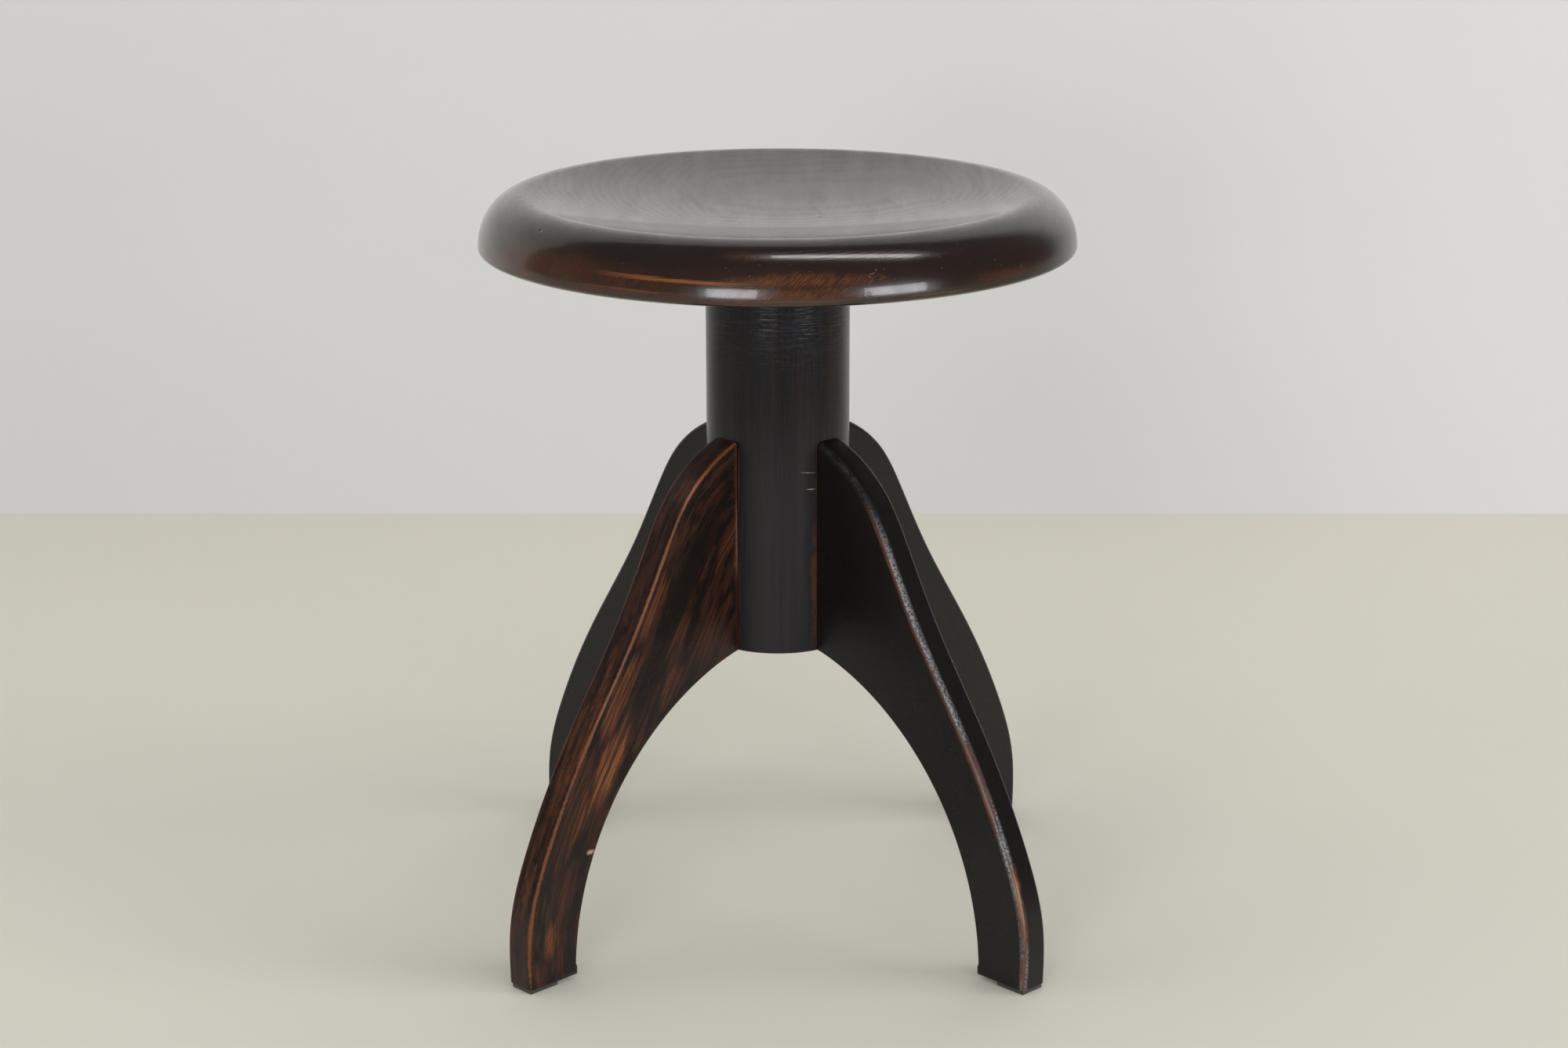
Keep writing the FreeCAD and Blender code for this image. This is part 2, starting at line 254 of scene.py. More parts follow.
# %% Seat boards
GLUE_HAIRLINE = 0.02 * MM
CUT_TOLERANCE = 0.001 * MM
joint_centres = [(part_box(left)[1].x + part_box(right)[0].x) / 2
                 for left, right in zip(board_names, board_names[1:])]


def cut_away(obj, plane_x, keep_right):
    open_mesh(obj)
    bpy.ops.mesh.bisect(plane_co=(plane_x, 0, 0), plane_no=(1, 0, 0), threshold=CUT_TOLERANCE, use_fill=True,
                        clear_inner=keep_right, clear_outer=not keep_right)
    close_mesh()


def seat_board(name, left_joint, right_joint):
    board = copy_of(whole_seat, name.replace("seat", "turned_seat"))
    if left_joint is not None:
        cut_away(board, left_joint + GLUE_HAIRLINE / 2, True)
    if right_joint is not None:
        cut_away(board, right_joint - GLUE_HAIRLINE / 2, False)
    bore(board, "seat_plate_screws")
    smooth(board, CRISP_SEAT)
    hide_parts(name)
    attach(board, "seat")
    return board


board_limits = zip(board_names, [None] + joint_centres, joint_centres + [None])
seat_pieces = {name: seat_board(name, left, right) for name, left, right in board_limits}
discard(whole_seat)
print("seat boards:", {name: len(board.data.polygons) for name, board in seat_pieces.items()})

# %% [markdown]
# Each leg is a plank, sawn to an ogee outside and an arch inside. A filled outline would leave one huge face
# on each side, so the leg is grown instead: the foot's rectangle is extruded section by section, and each
# section is widened, tilted and moved to span from the ogee to the arch. The quads then follow the leg.

# %% Leg outline
COLUMN_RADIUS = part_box("column")[1].x
LEG_THICKNESS = 19 * MM
LEG_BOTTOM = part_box("leg_front_left")[0].z
ARCH_RADIUS = 179 * MM
ARCH_CENTRE_HEIGHT = 1.5 * MM
FOOT_WIDTH = 36.4 * MM
LEG_JOINT_HEIGHT = 132 * MM
LEG_END_OVERRUN = 12 * MM
TOP_SLOPE_SHARE = 0.3
LEG_EDGE_SHARES = ((0.0, 1.0), (0.125, 0.995), (0.268, 0.912), (0.467, 0.722), (0.680, 0.475),
                   (0.829, 0.330), (0.912, 0.235), (0.971, 0.110), (1.0, 0.0))
SPLINE_FINENESS = 40
SPLINE_POINTS = 600
EDGE_POINTS = 400

arch_foot = math.sqrt(ARCH_RADIUS ** 2 - (LEG_BOTTOM - ARCH_CENTRE_HEIGHT) ** 2)
leg_reach = arch_foot + FOOT_WIDTH
column_bottom = ARCH_CENTRE_HEIGHT + math.sqrt(ARCH_RADIUS ** 2 - COLUMN_RADIUS ** 2)
leg_top = column_bottom + LEG_JOINT_HEIGHT


def smooth_through(points, count):
    """A natural cubic spline through points, as this many points evenly spaced along it."""
    points = np.array(points)
    knots = np.concatenate([[0], np.cumsum(np.linalg.norm(np.diff(points, axis=0), axis=1))])
    gaps = np.diff(knots)
    size = len(points)
    system = np.eye(size)
    known = np.zeros((size, 2))
    for i in range(1, size - 1):
        system[i, i - 1:i + 2] = gaps[i - 1], 2 * (gaps[i - 1] + gaps[i]), gaps[i]
        rise = (points[i + 1] - points[i]) / gaps[i] - (points[i] - points[i - 1]) / gaps[i - 1]
        known[i] = 6 * rise
    bends = np.linalg.solve(system, known)
    fine = np.linspace(0, knots[-1], SPLINE_FINENESS * size)
    place = np.clip(np.searchsorted(knots, fine, side="right") - 1, 0, size - 2)
    before = (fine - knots[place])[:, None]
    after = (knots[place + 1] - fine)[:, None]
    gap = gaps[place][:, None]
    low, high = bends[place], bends[place + 1]
    curve = (low * after ** 3 + high * before ** 3) / (6 * gap)
    curve += ((points[place] / gap - low * gap / 6) * after
              + (points[place + 1] / gap - high * gap / 6) * before)
    return evenly(curve, count)


def evenly(curve, count):
    travel = np.concatenate([[0], np.cumsum(np.linalg.norm(np.diff(curve, axis=0), axis=1))])
    wanted = np.linspace(0, travel[-1], count)
    return np.stack([np.interp(wanted, travel, curve[:, axis]) for axis in (0, 1)], axis=1)


def leg_edges(count):
    """The outer and the inner edge of a leg in its own plane, from the foot up to the column."""
    rise = leg_top - LEG_BOTTOM
    spread = leg_reach - COLUMN_RADIUS
    outer = [(COLUMN_RADIUS + out * spread, LEG_BOTTOM + up * rise) for up, out in LEG_EDGE_SHARES]
    outer.append((COLUMN_RADIUS - LEG_END_OVERRUN, leg_top + LEG_END_OVERRUN * TOP_SLOPE_SHARE))
    dense = smooth_through(outer, SPLINE_POINTS)
    dense = evenly(dense[dense[:, 0] >= COLUMN_RADIUS], count)
    angles = np.linspace(math.asin((LEG_BOTTOM - ARCH_CENTRE_HEIGHT) / ARCH_RADIUS),
                         math.acos(COLUMN_RADIUS / ARCH_RADIUS), count)
    arch = np.stack([np.cos(angles), np.sin(angles)], axis=1) * ARCH_RADIUS + [0, ARCH_CENTRE_HEIGHT]
    return dense, arch


outer_edge, inner_edge = leg_edges(EDGE_POINTS)
print("leg reaches", round(leg_reach / MM, 2), "mm out and", round(leg_top / MM, 2), "mm up")

# %% Growing a leg from its foot
LEG_SECTIONS = 72
CROSS_CUTS = 1


def section_frame(outer, inner):
    """Middle, width and tilt of the section between a point of the outer edge and one of the inner edge."""
    middle = (outer + inner) / 2
    across = outer - inner
    return Vector((middle[0], 0, middle[1])), math.hypot(*across), math.atan2(across[1], across[0])


def next_section(here, there):
    """Extrudes the selected section and moves it: level it, widen it, tilt it and carry it along."""
    middle, width, tilt = here
    next_middle, next_width, next_tilt = there
    bpy.ops.mesh.extrude_region_move()
    bpy.ops.transform.rotate(value=-tilt, orient_axis="Y", center_override=middle)
    bpy.ops.transform.resize(value=(next_width / width, 1, 1), center_override=middle)
    bpy.ops.transform.rotate(value=next_tilt, orient_axis="Y", center_override=middle)
    bpy.ops.transform.translate(value=next_middle - middle)


def grown_leg():
    outer, inner = leg_edges(LEG_SECTIONS + 1)
    frames = [section_frame(*ends) for ends in zip(outer, inner)]
    foot_middle, foot_width, _ = frames[0]
    leg = add_shape(bpy.ops.mesh.primitive_plane_add, "sawn_leg", (foot_width, LEG_THICKNESS, 1), size=1,
                    location=foot_middle)
    open_mesh(leg)
    bpy.ops.mesh.flip_normals()
    bpy.ops.mesh.subdivide(number_cuts=CROSS_CUTS)
    for here, there in zip(frames, frames[1:]):
        next_section(here, there)
    bpy.ops.mesh.select_all(action="SELECT")
    bpy.ops.mesh.normals_make_consistent(inside=False)
    close_mesh()
    return leg


leg_pattern = grown_leg()
print("grown leg has", len(leg_pattern.data.polygons), "faces")

# %% [markdown]
# Hands and shoes have rounded the long edges. The arch kept a crisp edge, and the outer edge of the front
# right leg is worn far rounder than the others, most of all on the side that faces the sitter and least at
# its foot. So each leg gets its own bevel, whose width at each edge is a share of the full rounding. The
# leg's end is scribed to the round column: a shrinkwrap modifier carries the end's vertices along the leg
# until they lie on a cylinder. A last small bevel eases the corners that show as a fine line at the joint and
# under the foot.

# %% Rounding and scribing a leg
# For each leg: the full rounding, its share at the foot, and the most that the far side gets of it.
OUTER_ROUNDING = {"front_left": (1.7 * MM, 1, 1), "front_right": (4.8 * MM, 0.45, 0.60),
                  "rear_left": (3 * MM, 1, 1), "rear_right": (3 * MM, 1, 1)}
FOOT_SHARE_TOP, FULL_SHARE_HEIGHT = 15 * MM, 150 * MM
ARCH_ROUNDING = 1.6 * MM
ROUNDING_SEGMENTS = 6
JOINT_GAP = 0.1 * MM
END_EASING = 0.35 * MM
END_SEGMENTS = 2
ARCH_TOLERANCE = 0.1 * MM
GAUGE_SIDES = 720

# How far a face's normal has to point one way to count as a flat side, as slanted, or as an end.
FLAT, SLANTED, UNDER, SQUARE = 0.9, 0.2, 0.99, 0.999


def is_long_edge(edge):
    """Where a flat side of the leg meets its outer or inner edge face."""
    if len(edge.link_faces) != 2:
        return False
    sides = sorted(abs(face.normal.y) for face in edge.link_faces)
    end_face = any(abs(face.normal.z) > SQUARE or face.normal.x < -SQUARE for face in edge.link_faces)
    return sides[0] < 1 - FLAT and sides[1] > FLAT and not end_face


def on_arch(edge):
    rises = [math.hypot(v.co.x, v.co.z - ARCH_CENTRE_HEIGHT) - ARCH_RADIUS for v in edge.verts]
    return max(abs(rise) for rise in rises) < ARCH_TOLERANCE


def is_end_corner(edge):
    """The corners round the foot's underside and round the end that meets the column."""
    under = sorted(face.normal.z < -UNDER for face in edge.link_faces)
    at_column = all(math.hypot(v.co.x, v.co.y) < COLUMN_RADIUS + 2 * JOINT_GAP for v in edge.verts)
    inward = sorted(face.normal.x < -FLAT and abs(face.normal.z) < SLANTED for face in edge.link_faces)
    return under == [False, True] or (at_column and inward == [False, True])


def round_edges(leg, test, radius, segments):
    open_mesh(leg)
    count = choose_edges(leg, test)
    bpy.ops.mesh.bevel(offset=radius, segments=segments, affect="EDGES")
    close_mesh()
    return count


def rounding_share(height, foot_share):
    """How much of the full rounding an edge gets: the foot's share at first, then more with height."""
    rise = min(max((height - FOOT_SHARE_TOP) / (FULL_SHARE_HEIGHT - FOOT_SHARE_TOP), 0), 1)
    return foot_share + (1 - foot_share) * rise * rise * (3 - 2 * rise)


def round_outer_edges(leg, radius, foot_share, far_share):
    """Gives the outer long edges a bevel weight by their height and side, and bevels by weight."""
    open_mesh(leg)
    count = choose_edges(leg, lambda edge: is_long_edge(edge) and not on_arch(edge))
    mesh = bmesh.from_edit_mesh(leg.data)
    weights = mesh.edges.layers.float.new("bevel_weight_edge")
    for edge in mesh.edges:
        if edge.select:
            middle = (edge.verts[0].co + edge.verts[1].co) / 2
            share = rounding_share(middle.z, foot_share)
            edge[weights] = min(share, far_share) if middle.y > 0 else share
    bmesh.update_edit_mesh(leg.data)
    close_mesh()
    apply_modifier(leg, "BEVEL", width=radius, segments=ROUNDING_SEGMENTS, limit_method="WEIGHT")
    return count


def scribe(leg):
    """Carries the vertices of the leg's end on to the column."""
    ends = leg.vertex_groups.new(name="column_end")
    ends.add([v.index for v in leg.data.vertices if v.co.x < COLUMN_RADIUS + MERGE_DISTANCE], 1, "ADD")
    gauge = add_shape(bpy.ops.mesh.primitive_cylinder_add, "gauge", vertices=GAUGE_SIDES,
                      radius=COLUMN_RADIUS + JOINT_GAP, depth=1)
    apply_modifier(leg, "SHRINKWRAP", target=gauge, wrap_method="PROJECT", use_project_x=True,
                   use_negative_direction=True, vertex_group="column_end")
    discard(gauge)
    leg.vertex_groups.clear()


def rounded_leg(corner):
    leg = copy_of(leg_pattern, "rounded_leg_" + corner)
    outer = round_outer_edges(leg, *OUTER_ROUNDING[corner])
    arch = round_edges(leg, lambda edge: is_long_edge(edge) and on_arch(edge), ARCH_ROUNDING,
                       ROUNDING_SEGMENTS)
    scribe(leg)
    ends = round_edges(leg, is_end_corner, END_EASING, END_SEGMENTS)
    print(corner, "edges rounded: arch", arch, "outer", outer, "ends", ends)
    return leg


# %% [markdown]
# Where the stain is rubbed through depends on where a spot lies along the leg and how far it is from the
# nearest long edge and from the column. Those distances are measured once for every vertex and stored on the
# mesh as attributes, which the leg's material reads. Then the leg is turned to its corner and bored for pegs.

# %% Legs on their corners
LEG_AZIMUTHS = {"front_left": 225, "front_right": 315, "rear_left": 135, "rear_right": 45}


def mark_places(leg, azimuth):
    """Stores, in millimetres: run_mm (along the outer edge, in from it, sideways) and wear_mm (from the
    nearest long edge, from the column)."""
    turned_back = Matrix.Rotation(-math.radians(azimuth), 3, "Z")
    points = np.array([turned_back @ v.co for v in leg.data.vertices])
    flat = points[:, None, [0, 2]]
    to_outer = np.linalg.norm(flat - outer_edge[None], axis=2)
    to_inner = np.linalg.norm(flat - inner_edge[None], axis=2)
    step = np.linalg.norm(outer_edge[1] - outer_edge[0])
    along = np.argmin(to_outer, axis=1) * step
    across = np.min(to_outer, axis=1)
    from_side = LEG_THICKNESS / 2 - np.abs(points[:, 1])
    to_edge = np.hypot(np.minimum(across, np.min(to_inner, axis=1)), from_side)
    to_column = np.hypot(points[:, 0], points[:, 1]) - COLUMN_RADIUS
    places = {"run_mm": (along, across, points[:, 1]), "wear_mm": (to_edge, to_column, 0 * along)}
    for name, columns in places.items():
        attribute = leg.data.attributes.new(name, "FLOAT_VECTOR", "POINT")
        attribute.data.foreach_set("vector", (np.stack(columns, axis=1) / MM).astype(np.float32).ravel())


def place_leg(corner, azimuth):
    leg = rounded_leg(corner)
    leg.rotation_euler.z = math.radians(azimuth)
    pick(leg)
    bpy.ops.object.transform_apply(rotation=True)
    bore(leg, "leg_dowels_" + corner)
    mark_places(leg, azimuth)
    smooth(leg, CRISP_LEG)
    apply_modifier(leg, "WEIGHTED_NORMAL", keep_sharp=True)
    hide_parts("leg_" + corner)
    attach(leg, "base")
    return leg


leg_pieces = {corner: place_leg(corner, azimuth) for corner, azimuth in LEG_AZIMUTHS.items()}
discard(leg_pattern)
print("legs:", {corner: len(leg.data.polygons) for corner, leg in leg_pieces.items()})

# %% [markdown]
# A slip of dark felt is glued under the outer half of each foot. Pressed felt has no sharp corners, so a box
# is beveled all round and then cut into small faces.

# %% Foot pads
PAD_EASING = 0.6 * MM
PAD_CUTS = 3
PAD_LENGTH = 21 * MM
PAD_EDGE_INSET = 1 * MM
PAD_WIDTH = LEG_THICKNESS - 2 * PAD_EDGE_INSET
PAD_MIDDLE = leg_reach - PAD_EDGE_INSET - PAD_LENGTH / 2


def foot_pad(corner, azimuth):
    low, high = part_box("foot_pad_" + corner)
    pad = add_shape(bpy.ops.mesh.primitive_cube_add, "felt_pad_" + corner,
                    (PAD_LENGTH, PAD_WIDTH, high.z - low.z), size=1,
                    location=(PAD_MIDDLE, 0, (low.z + high.z) / 2))
    open_mesh(pad)
    bpy.ops.mesh.bevel(offset=PAD_EASING, segments=PAD_CUTS, affect="EDGES")
    bpy.ops.mesh.select_all(action="SELECT")
    bpy.ops.mesh.subdivide(number_cuts=PAD_CUTS)
    close_mesh()
    pad.rotation_euler.z = math.radians(azimuth)
    bpy.ops.object.transform_apply(rotation=True)
    smooth(pad, CRISP_PAD)
    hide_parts("foot_pad_" + corner)
    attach(pad, "base")
    return pad


pad_pieces = {corner: foot_pad(corner, azimuth) for corner, azimuth in LEG_AZIMUTHS.items()}
print("foot pads:", len(pad_pieces))

# %% [markdown]
# The column, the screw, its nut, the washer and the fasteners are right as the CAD made them, so their
# meshes stay. Their faces only need smooth shading with crisp edges, and finishes of their own below.

# %% Shading the CAD pieces that stay
REPLACED = ("seat_board", "leg_front", "leg_rear", "foot_pad")
shown_cad = [name for name in nodes if not name.startswith(REPLACED)]
for name in shown_cad:
    smooth(nodes[name], CRISP_CAD)
print("CAD pieces that stay:", shown_cad)

# %% [markdown]
# Materials are node trees. A value in a tree is the output socket that gives it, and a socket knows its own
# tree. So these helpers take values, add a node to the tree they come from, and hand back what it puts out:
# sums, an eased step from 0 to 1, noise, and colours or bumps laid over one another. Each finish below then
# reads as a recipe. Effects that finishes share are node groups with named inputs, built once.

# %% Helpers for materials
MIX_FACTOR, MIX_FIRST, MIX_SECOND, MIX_RESULT = 0, 6, 7, 2
X_AXIS, Y_AXIS, Z_AXIS = (1, 0, 0), (0, 1, 0), (0, 0, 1)
QUARTER_TURN = math.pi / 2


def feed(socket, value):
    """Links a value to a socket, or sets the socket to a plain number, vector or colour."""
    if isinstance(value, bpy.types.NodeSocket):
        socket.id_data.links.new(value, socket)
    else:
        socket.default_value = value


def put(tree, kind, inputs=None, **settings):
    """Adds a node, with these settings and with these values fed to its inputs."""
    made = tree.nodes.new(kind)
    for name, value in settings.items():
        setattr(made, name, value)
    for name, value in (inputs or {}).items():
        feed(made.inputs[name], value)
    return made


def tree_of(values):
    """The node tree of the first socket among some values."""
    return next(value.id_data for value in values if isinstance(value, bpy.types.NodeSocket))


def calc(operation, *values, kind="ShaderNodeMath", result="Value"):
    """What one math node puts out for these values."""
    made = put(tree_of(values), kind, operation=operation)
    for socket, value in zip(made.inputs, values):
        feed(socket, value)
    return made.outputs[result]


def vector_calc(operation, *values):
    result = "Value" if operation in ("LENGTH", "DOT_PRODUCT") else "Vector"
    return calc(operation, *values, kind="ShaderNodeVectorMath", result=result)


def minus(value, other):
    return calc("SUBTRACT", value, other)


def times(value, *others):
    for other in others:
        value = calc("MULTIPLY", value, other)
    return value


def most(value, *others):
    for other in others:
        value = calc("MAXIMUM", value, other)
    return value


def plus(value, *shares):
    """The value plus each of some (value, factor) pairs."""
    for other, factor in shares:
        value = calc("MULTIPLY_ADD", other, factor, value)
    return value


def hypotenuse(first, second):
    return calc("SQRT", calc("ADD", times(first, first), times(second, second)))


def clamped(value):
    return put(value.id_data, "ShaderNodeClamp", {"Value": value}).outputs[0]


def ease(value, start, end):
    """0 where the value is at start and 1 where it is at end, eased between them."""
    limits = {"Value": value, "From Min": start, "From Max": end}
    return put(value.id_data, "ShaderNodeMapRange", limits, interpolation_type="SMOOTHSTEP").outputs["Result"]


def span(value, low, high):
    """A value from 0 to 1, spread evenly over low to high."""
    limits = {"Value": value, "To Min": low, "To Max": high}
    return put(value.id_data, "ShaderNodeMapRange", limits).outputs["Result"]


def split(vector):
    return put(vector.id_data, "ShaderNodeSeparateXYZ", {"Vector": vector}).outputs


def turned_about(vector, axis, angle):
    return put(vector.id_data, "ShaderNodeVectorRotate",
               {"Vector": vector, "Axis": axis, "Angle": angle}).outputs[0]


def noise(vector, scale, detail=2.0, roughness=0.5, output="Fac"):
    return put(vector.id_data, "ShaderNodeTexNoise", {"Vector": vector, "Scale": scale, "Detail": detail,
                                                      "Roughness": roughness}).outputs[output]


def stretched_noise(vector, size, detail=2.0, roughness=0.5):
    """Noise whose blots have this size along each axis."""
    return noise(vector_calc("DIVIDE", vector, size), 1.0, detail, roughness)


def paint(color, *layers):
    """A colour with others laid over it, each as (mask, colour)."""
    for mask, layer in layers:
        made = put(mask.id_data, "ShaderNodeMix", data_type="RGBA")
        for index, value in ((MIX_FACTOR, mask), (MIX_FIRST, color), (MIX_SECOND, layer)):
            feed(made.inputs[index], value)
        color = made.outputs[MIX_RESULT]
    return color


def relief(*bumps):
    """A normal bent by bumps, each as (height from 0 to 1, the metres that 1 stands for)."""
    normal = None
    for height, distance in bumps:
        made = put(height.id_data, "ShaderNodeBump", {"Height": height, "Distance": distance})
        if normal is not None:
            feed(made.inputs["Normal"], normal)
        normal = made.outputs["Normal"]
    return normal


def new_group(name, inputs, build):
    """A shader node group. The inputs are names with their defaults, and build turns the outputs of the
    entry node into a dictionary of results."""
    group = bpy.data.node_groups.new(name, "ShaderNodeTree")

    def add_socket(socket_name, in_out, is_vector):
        kind = "NodeSocketVector" if is_vector else "NodeSocketFloat"
        return group.interface.new_socket(socket_name, in_out=in_out, socket_type=kind)

    for socket_name, default in inputs.items():
        add_socket(socket_name, "INPUT", isinstance(default, tuple)).default_value = default
    results = build(group.nodes.new("NodeGroupInput").outputs)
    for socket_name, value in results.items():
        add_socket(socket_name, "OUTPUT", value.type == "VECTOR")
    put(group, "NodeGroupOutput", results)
    print("group", name, "takes", list(inputs), "and gives", list(results))
    return group


def use(group, **inputs):
    """Places a group in the tree of its inputs, whose names are given in words joined by underscores."""
    inputs = {name.replace("_", " "): value for name, value in inputs.items()}
    return put(tree_of(inputs.values()), "ShaderNodeGroup", inputs, node_tree=group).outputs


def new_finish(name, **values):
    """A material, the inputs of its Principled BSDF with the even values set, and the place of each point."""
    material = bpy.data.materials.new(name)
    material.use_nodes = True
    shader = material.node_tree.nodes["Principled BSDF"].inputs
    for socket, value in values.items():
        shader[socket.replace("_", " ")].default_value = value
    return material, shader, put(material.node_tree, "ShaderNodeTexCoord").outputs["Object"]


def dress(obj, material):
    obj.data.materials.clear()
    obj.data.materials.append(material)
    print(obj.name, "wears", material.name, "with", len(material.node_tree.nodes), "nodes")


# %% [markdown]
# Stained wood shows its fibres as fine dark and light streaks, with broader bands behind them and short open
# pores. All three are noise that is stretched along the grain: the coordinates are divided by a size that is
# thin across the grain and long along it. The group expects the grain along its own Z.

# %% Group: wood fibres
ORIGIN = (0, 0, 0)
PORE_SHARES = (2.2, 2.2, 5.0)


def build_fibres(given):
    drift = noise(given["Vector"], 11.0, 1.0, output="Color")
    sway = vector_calc("MULTIPLY", vector_calc("SUBTRACT", drift, (0.5, 0.5, 0.5)), given["Sway"])
    swayed = vector_calc("ADD", given["Vector"], sway)
    fibre_place = vector_calc("DIVIDE", swayed, given["Fibre size"])
    pores = noise(vector_calc("MULTIPLY", fibre_place, PORE_SHARES), 1.0, 1.0)
    return {"Fibres": noise(fibre_place, 1.0, 3.0, 0.65),
            "Bands": stretched_noise(swayed, given["Band size"], 2.0, 0.55),
            "Pores": ease(pores, 0.64, 0.74)}


wood_fibres = new_group("wood_fibres", {
    "Vector": ORIGIN, "Fibre size": (1 * MM, 1 * MM, 40 * MM), "Band size": (9 * MM, 9 * MM, 150 * MM),
    "Sway": 4 * MM}, build_fibres)

# %% [markdown]
# Worn stain has three shapes. It thins along an edge, it thins in patches where something rubs, and it is
# scored in single strokes. The first group turns a distance from an edge, in millimetres, into a broken line
# of wear. The second makes one soft patch round a centre, and the third a stroke from one point to another.
# All three are ragged, because the streaks of the wood are mixed into their limit.

# %% Groups: rubbed edges, rubbed patches and strokes
def build_rubbed_edge(given):
    broad = noise(given["Vector"], 24.0, 3.0, 0.6)
    fine = noise(given["Vector"], 520.0, 2.0, 0.6)
    grit = plus(fine, (minus(given["Ragged"], 0.5), 0.9))
    local = calc("ADD", span(broad, -0.55, 1.15), given["Amount"])
    reach = most(times(given["Reach"], local), 0.05)
    closeness = minus(1.0, calc("DIVIDE", given["Distance"], reach))
    return {"Mask": ease(calc("ADD", closeness, grit), 0.45, 1.15)}


def build_patch(given):
    offset = vector_calc("SUBTRACT", given["Vector"], given["Centre"])
    away = vector_calc("LENGTH", vector_calc("DIVIDE", offset, given["Size"]))
    shift = times(minus(0.5, given["Ragged"]), given["Raggedness"])
    return {"Mask": ease(calc("ADD", away, shift), 1.2, 0.2)}


def build_stroke(given):
    line = vector_calc("SUBTRACT", given["End"], given["Start"])
    offset = vector_calc("SUBTRACT", given["Vector"], given["Start"])
    along = calc("DIVIDE", vector_calc("DOT_PRODUCT", offset, line), vector_calc("DOT_PRODUCT", line, line))
    share = clamped(along)
    gap = vector_calc("LENGTH", vector_calc("SUBTRACT", offset, vector_calc("MULTIPLY", line, share)))
    away = plus(calc("DIVIDE", gap, given["Width"]), (calc("ABSOLUTE", minus(share, 0.5)), 1.4))
    return {"Mask": ease(calc("ADD", away, minus(0.5, given["Ragged"])), 1.2, 0.3)}


rubbed_edge = new_group("rubbed_edge", {
    "Distance": 10.0, "Reach": 1.5, "Ragged": 0.5, "Vector": ORIGIN, "Amount": 0.5}, build_rubbed_edge)
rubbed_patch = new_group("rubbed_patch", {
    "Vector": ORIGIN, "Centre": ORIGIN, "Size": (1, 1, 1), "Ragged": 0.5, "Raggedness": 2.2}, build_patch)
stroke = new_group("stroke", {
    "Vector": ORIGIN, "Start": ORIGIN, "End": (0, 0, 1), "Width": 0.5 * MM, "Ragged": 0.5}, build_stroke)


# %% Adding up patches and strokes
def in_metres(point):
    return [value * MM for value in point]


def strongest(masks, rows):
    """The highest of the masks, each one times the strength that its row ends with."""
    return most(*[times(mask, row[-1]) for mask, row in zip(masks, rows)])


def patches(vector, rows, **ragged):
    """The strongest of several rubbed patches, given as (centre, half sizes, strength)."""
    masks = [use(rubbed_patch, Vector=vector, Centre=centre, Size=size, **ragged)["Mask"]
             for centre, size, _ in rows]
    return strongest(masks, rows)


def strokes(vector, lines, ragged):
    """The strongest of several strokes, given as (start, end, half width, strength) in millimetres."""
    masks = [use(stroke, Vector=vector, Start=in_metres(start), End=in_metres(end), Width=width * MM,
                 Ragged=ragged)["Mask"] for start, end, width, _ in lines]
    return strongest(masks, lines)


# %% [markdown]
# Handling leaves fine straight scratches that cross each other, and a haze of finger marks. The scratches
# are very long thin noise, laid at two angles and cut off high, so that only a few lines remain.

# %% Group: handling marks
SCRATCH_ANGLES = (24.0, -58.0)
SCRATCH_AXIS = (0.2, 0.3, 1.0)
SCRATCH_SIZE = (0.35 * MM, 22 * MM, 3 * MM)


def build_handling(given):
    lines = []
    for degrees in SCRATCH_ANGLES:
        laid = turned_about(given["Vector"], SCRATCH_AXIS, math.radians(degrees))
        lines.append(ease(stretched_noise(laid, SCRATCH_SIZE, 1.0), 0.70, 0.76))
    return {"Scratches": most(*lines), "Haze": noise(given["Vector"], 38.0, 4.0, 0.6)}


handling_marks = new_group("handling_marks", {"Vector": ORIGIN}, build_handling)

# %% [markdown]
# On a turned piece, tool marks and rubbing run round the axis. This group unrolls the piece: it puts out the
# length along the rim from the front, the distance from the axis and the height, as one vector whose X runs
# round the piece. The seam of the angle lies at the back.

# %% Group: unrolled round the axis
def build_unroll(given):
    part = split(given["Vector"])
    angle = calc("ARCTAN2", part["X"], times(part["Y"], -1.0))
    radius = hypotenuse(part["X"], part["Y"])
    unrolled = put(angle.id_data, "ShaderNodeCombineXYZ", {
        "X": times(angle, given["Rim radius"]), "Y": radius, "Z": part["Z"]}).outputs[0]
    return {"Unrolled": unrolled, "Degrees": calc("DEGREES", angle), "Radius": radius, "Height": part["Z"]}


unrolled_group = new_group("unrolled", {"Vector": ORIGIN, "Rim radius": SEAT_RADIUS}, build_unroll)

# %% [markdown]
# The seat is stained nearly black and varnished to a gloss. Light gets a little way into the stain, so thin
# stain looks red-brown, and bare wood under the varnish looks orange. The lathe cut the dish through nearly
# flat growth rings, which leave faint ovals in it. On the front of the rim the wood is cut across, and its
# pores make short slanting dashes. The varnish is thinner low on the right side. Each board gets its own
# place in the tree, and so its own rings.

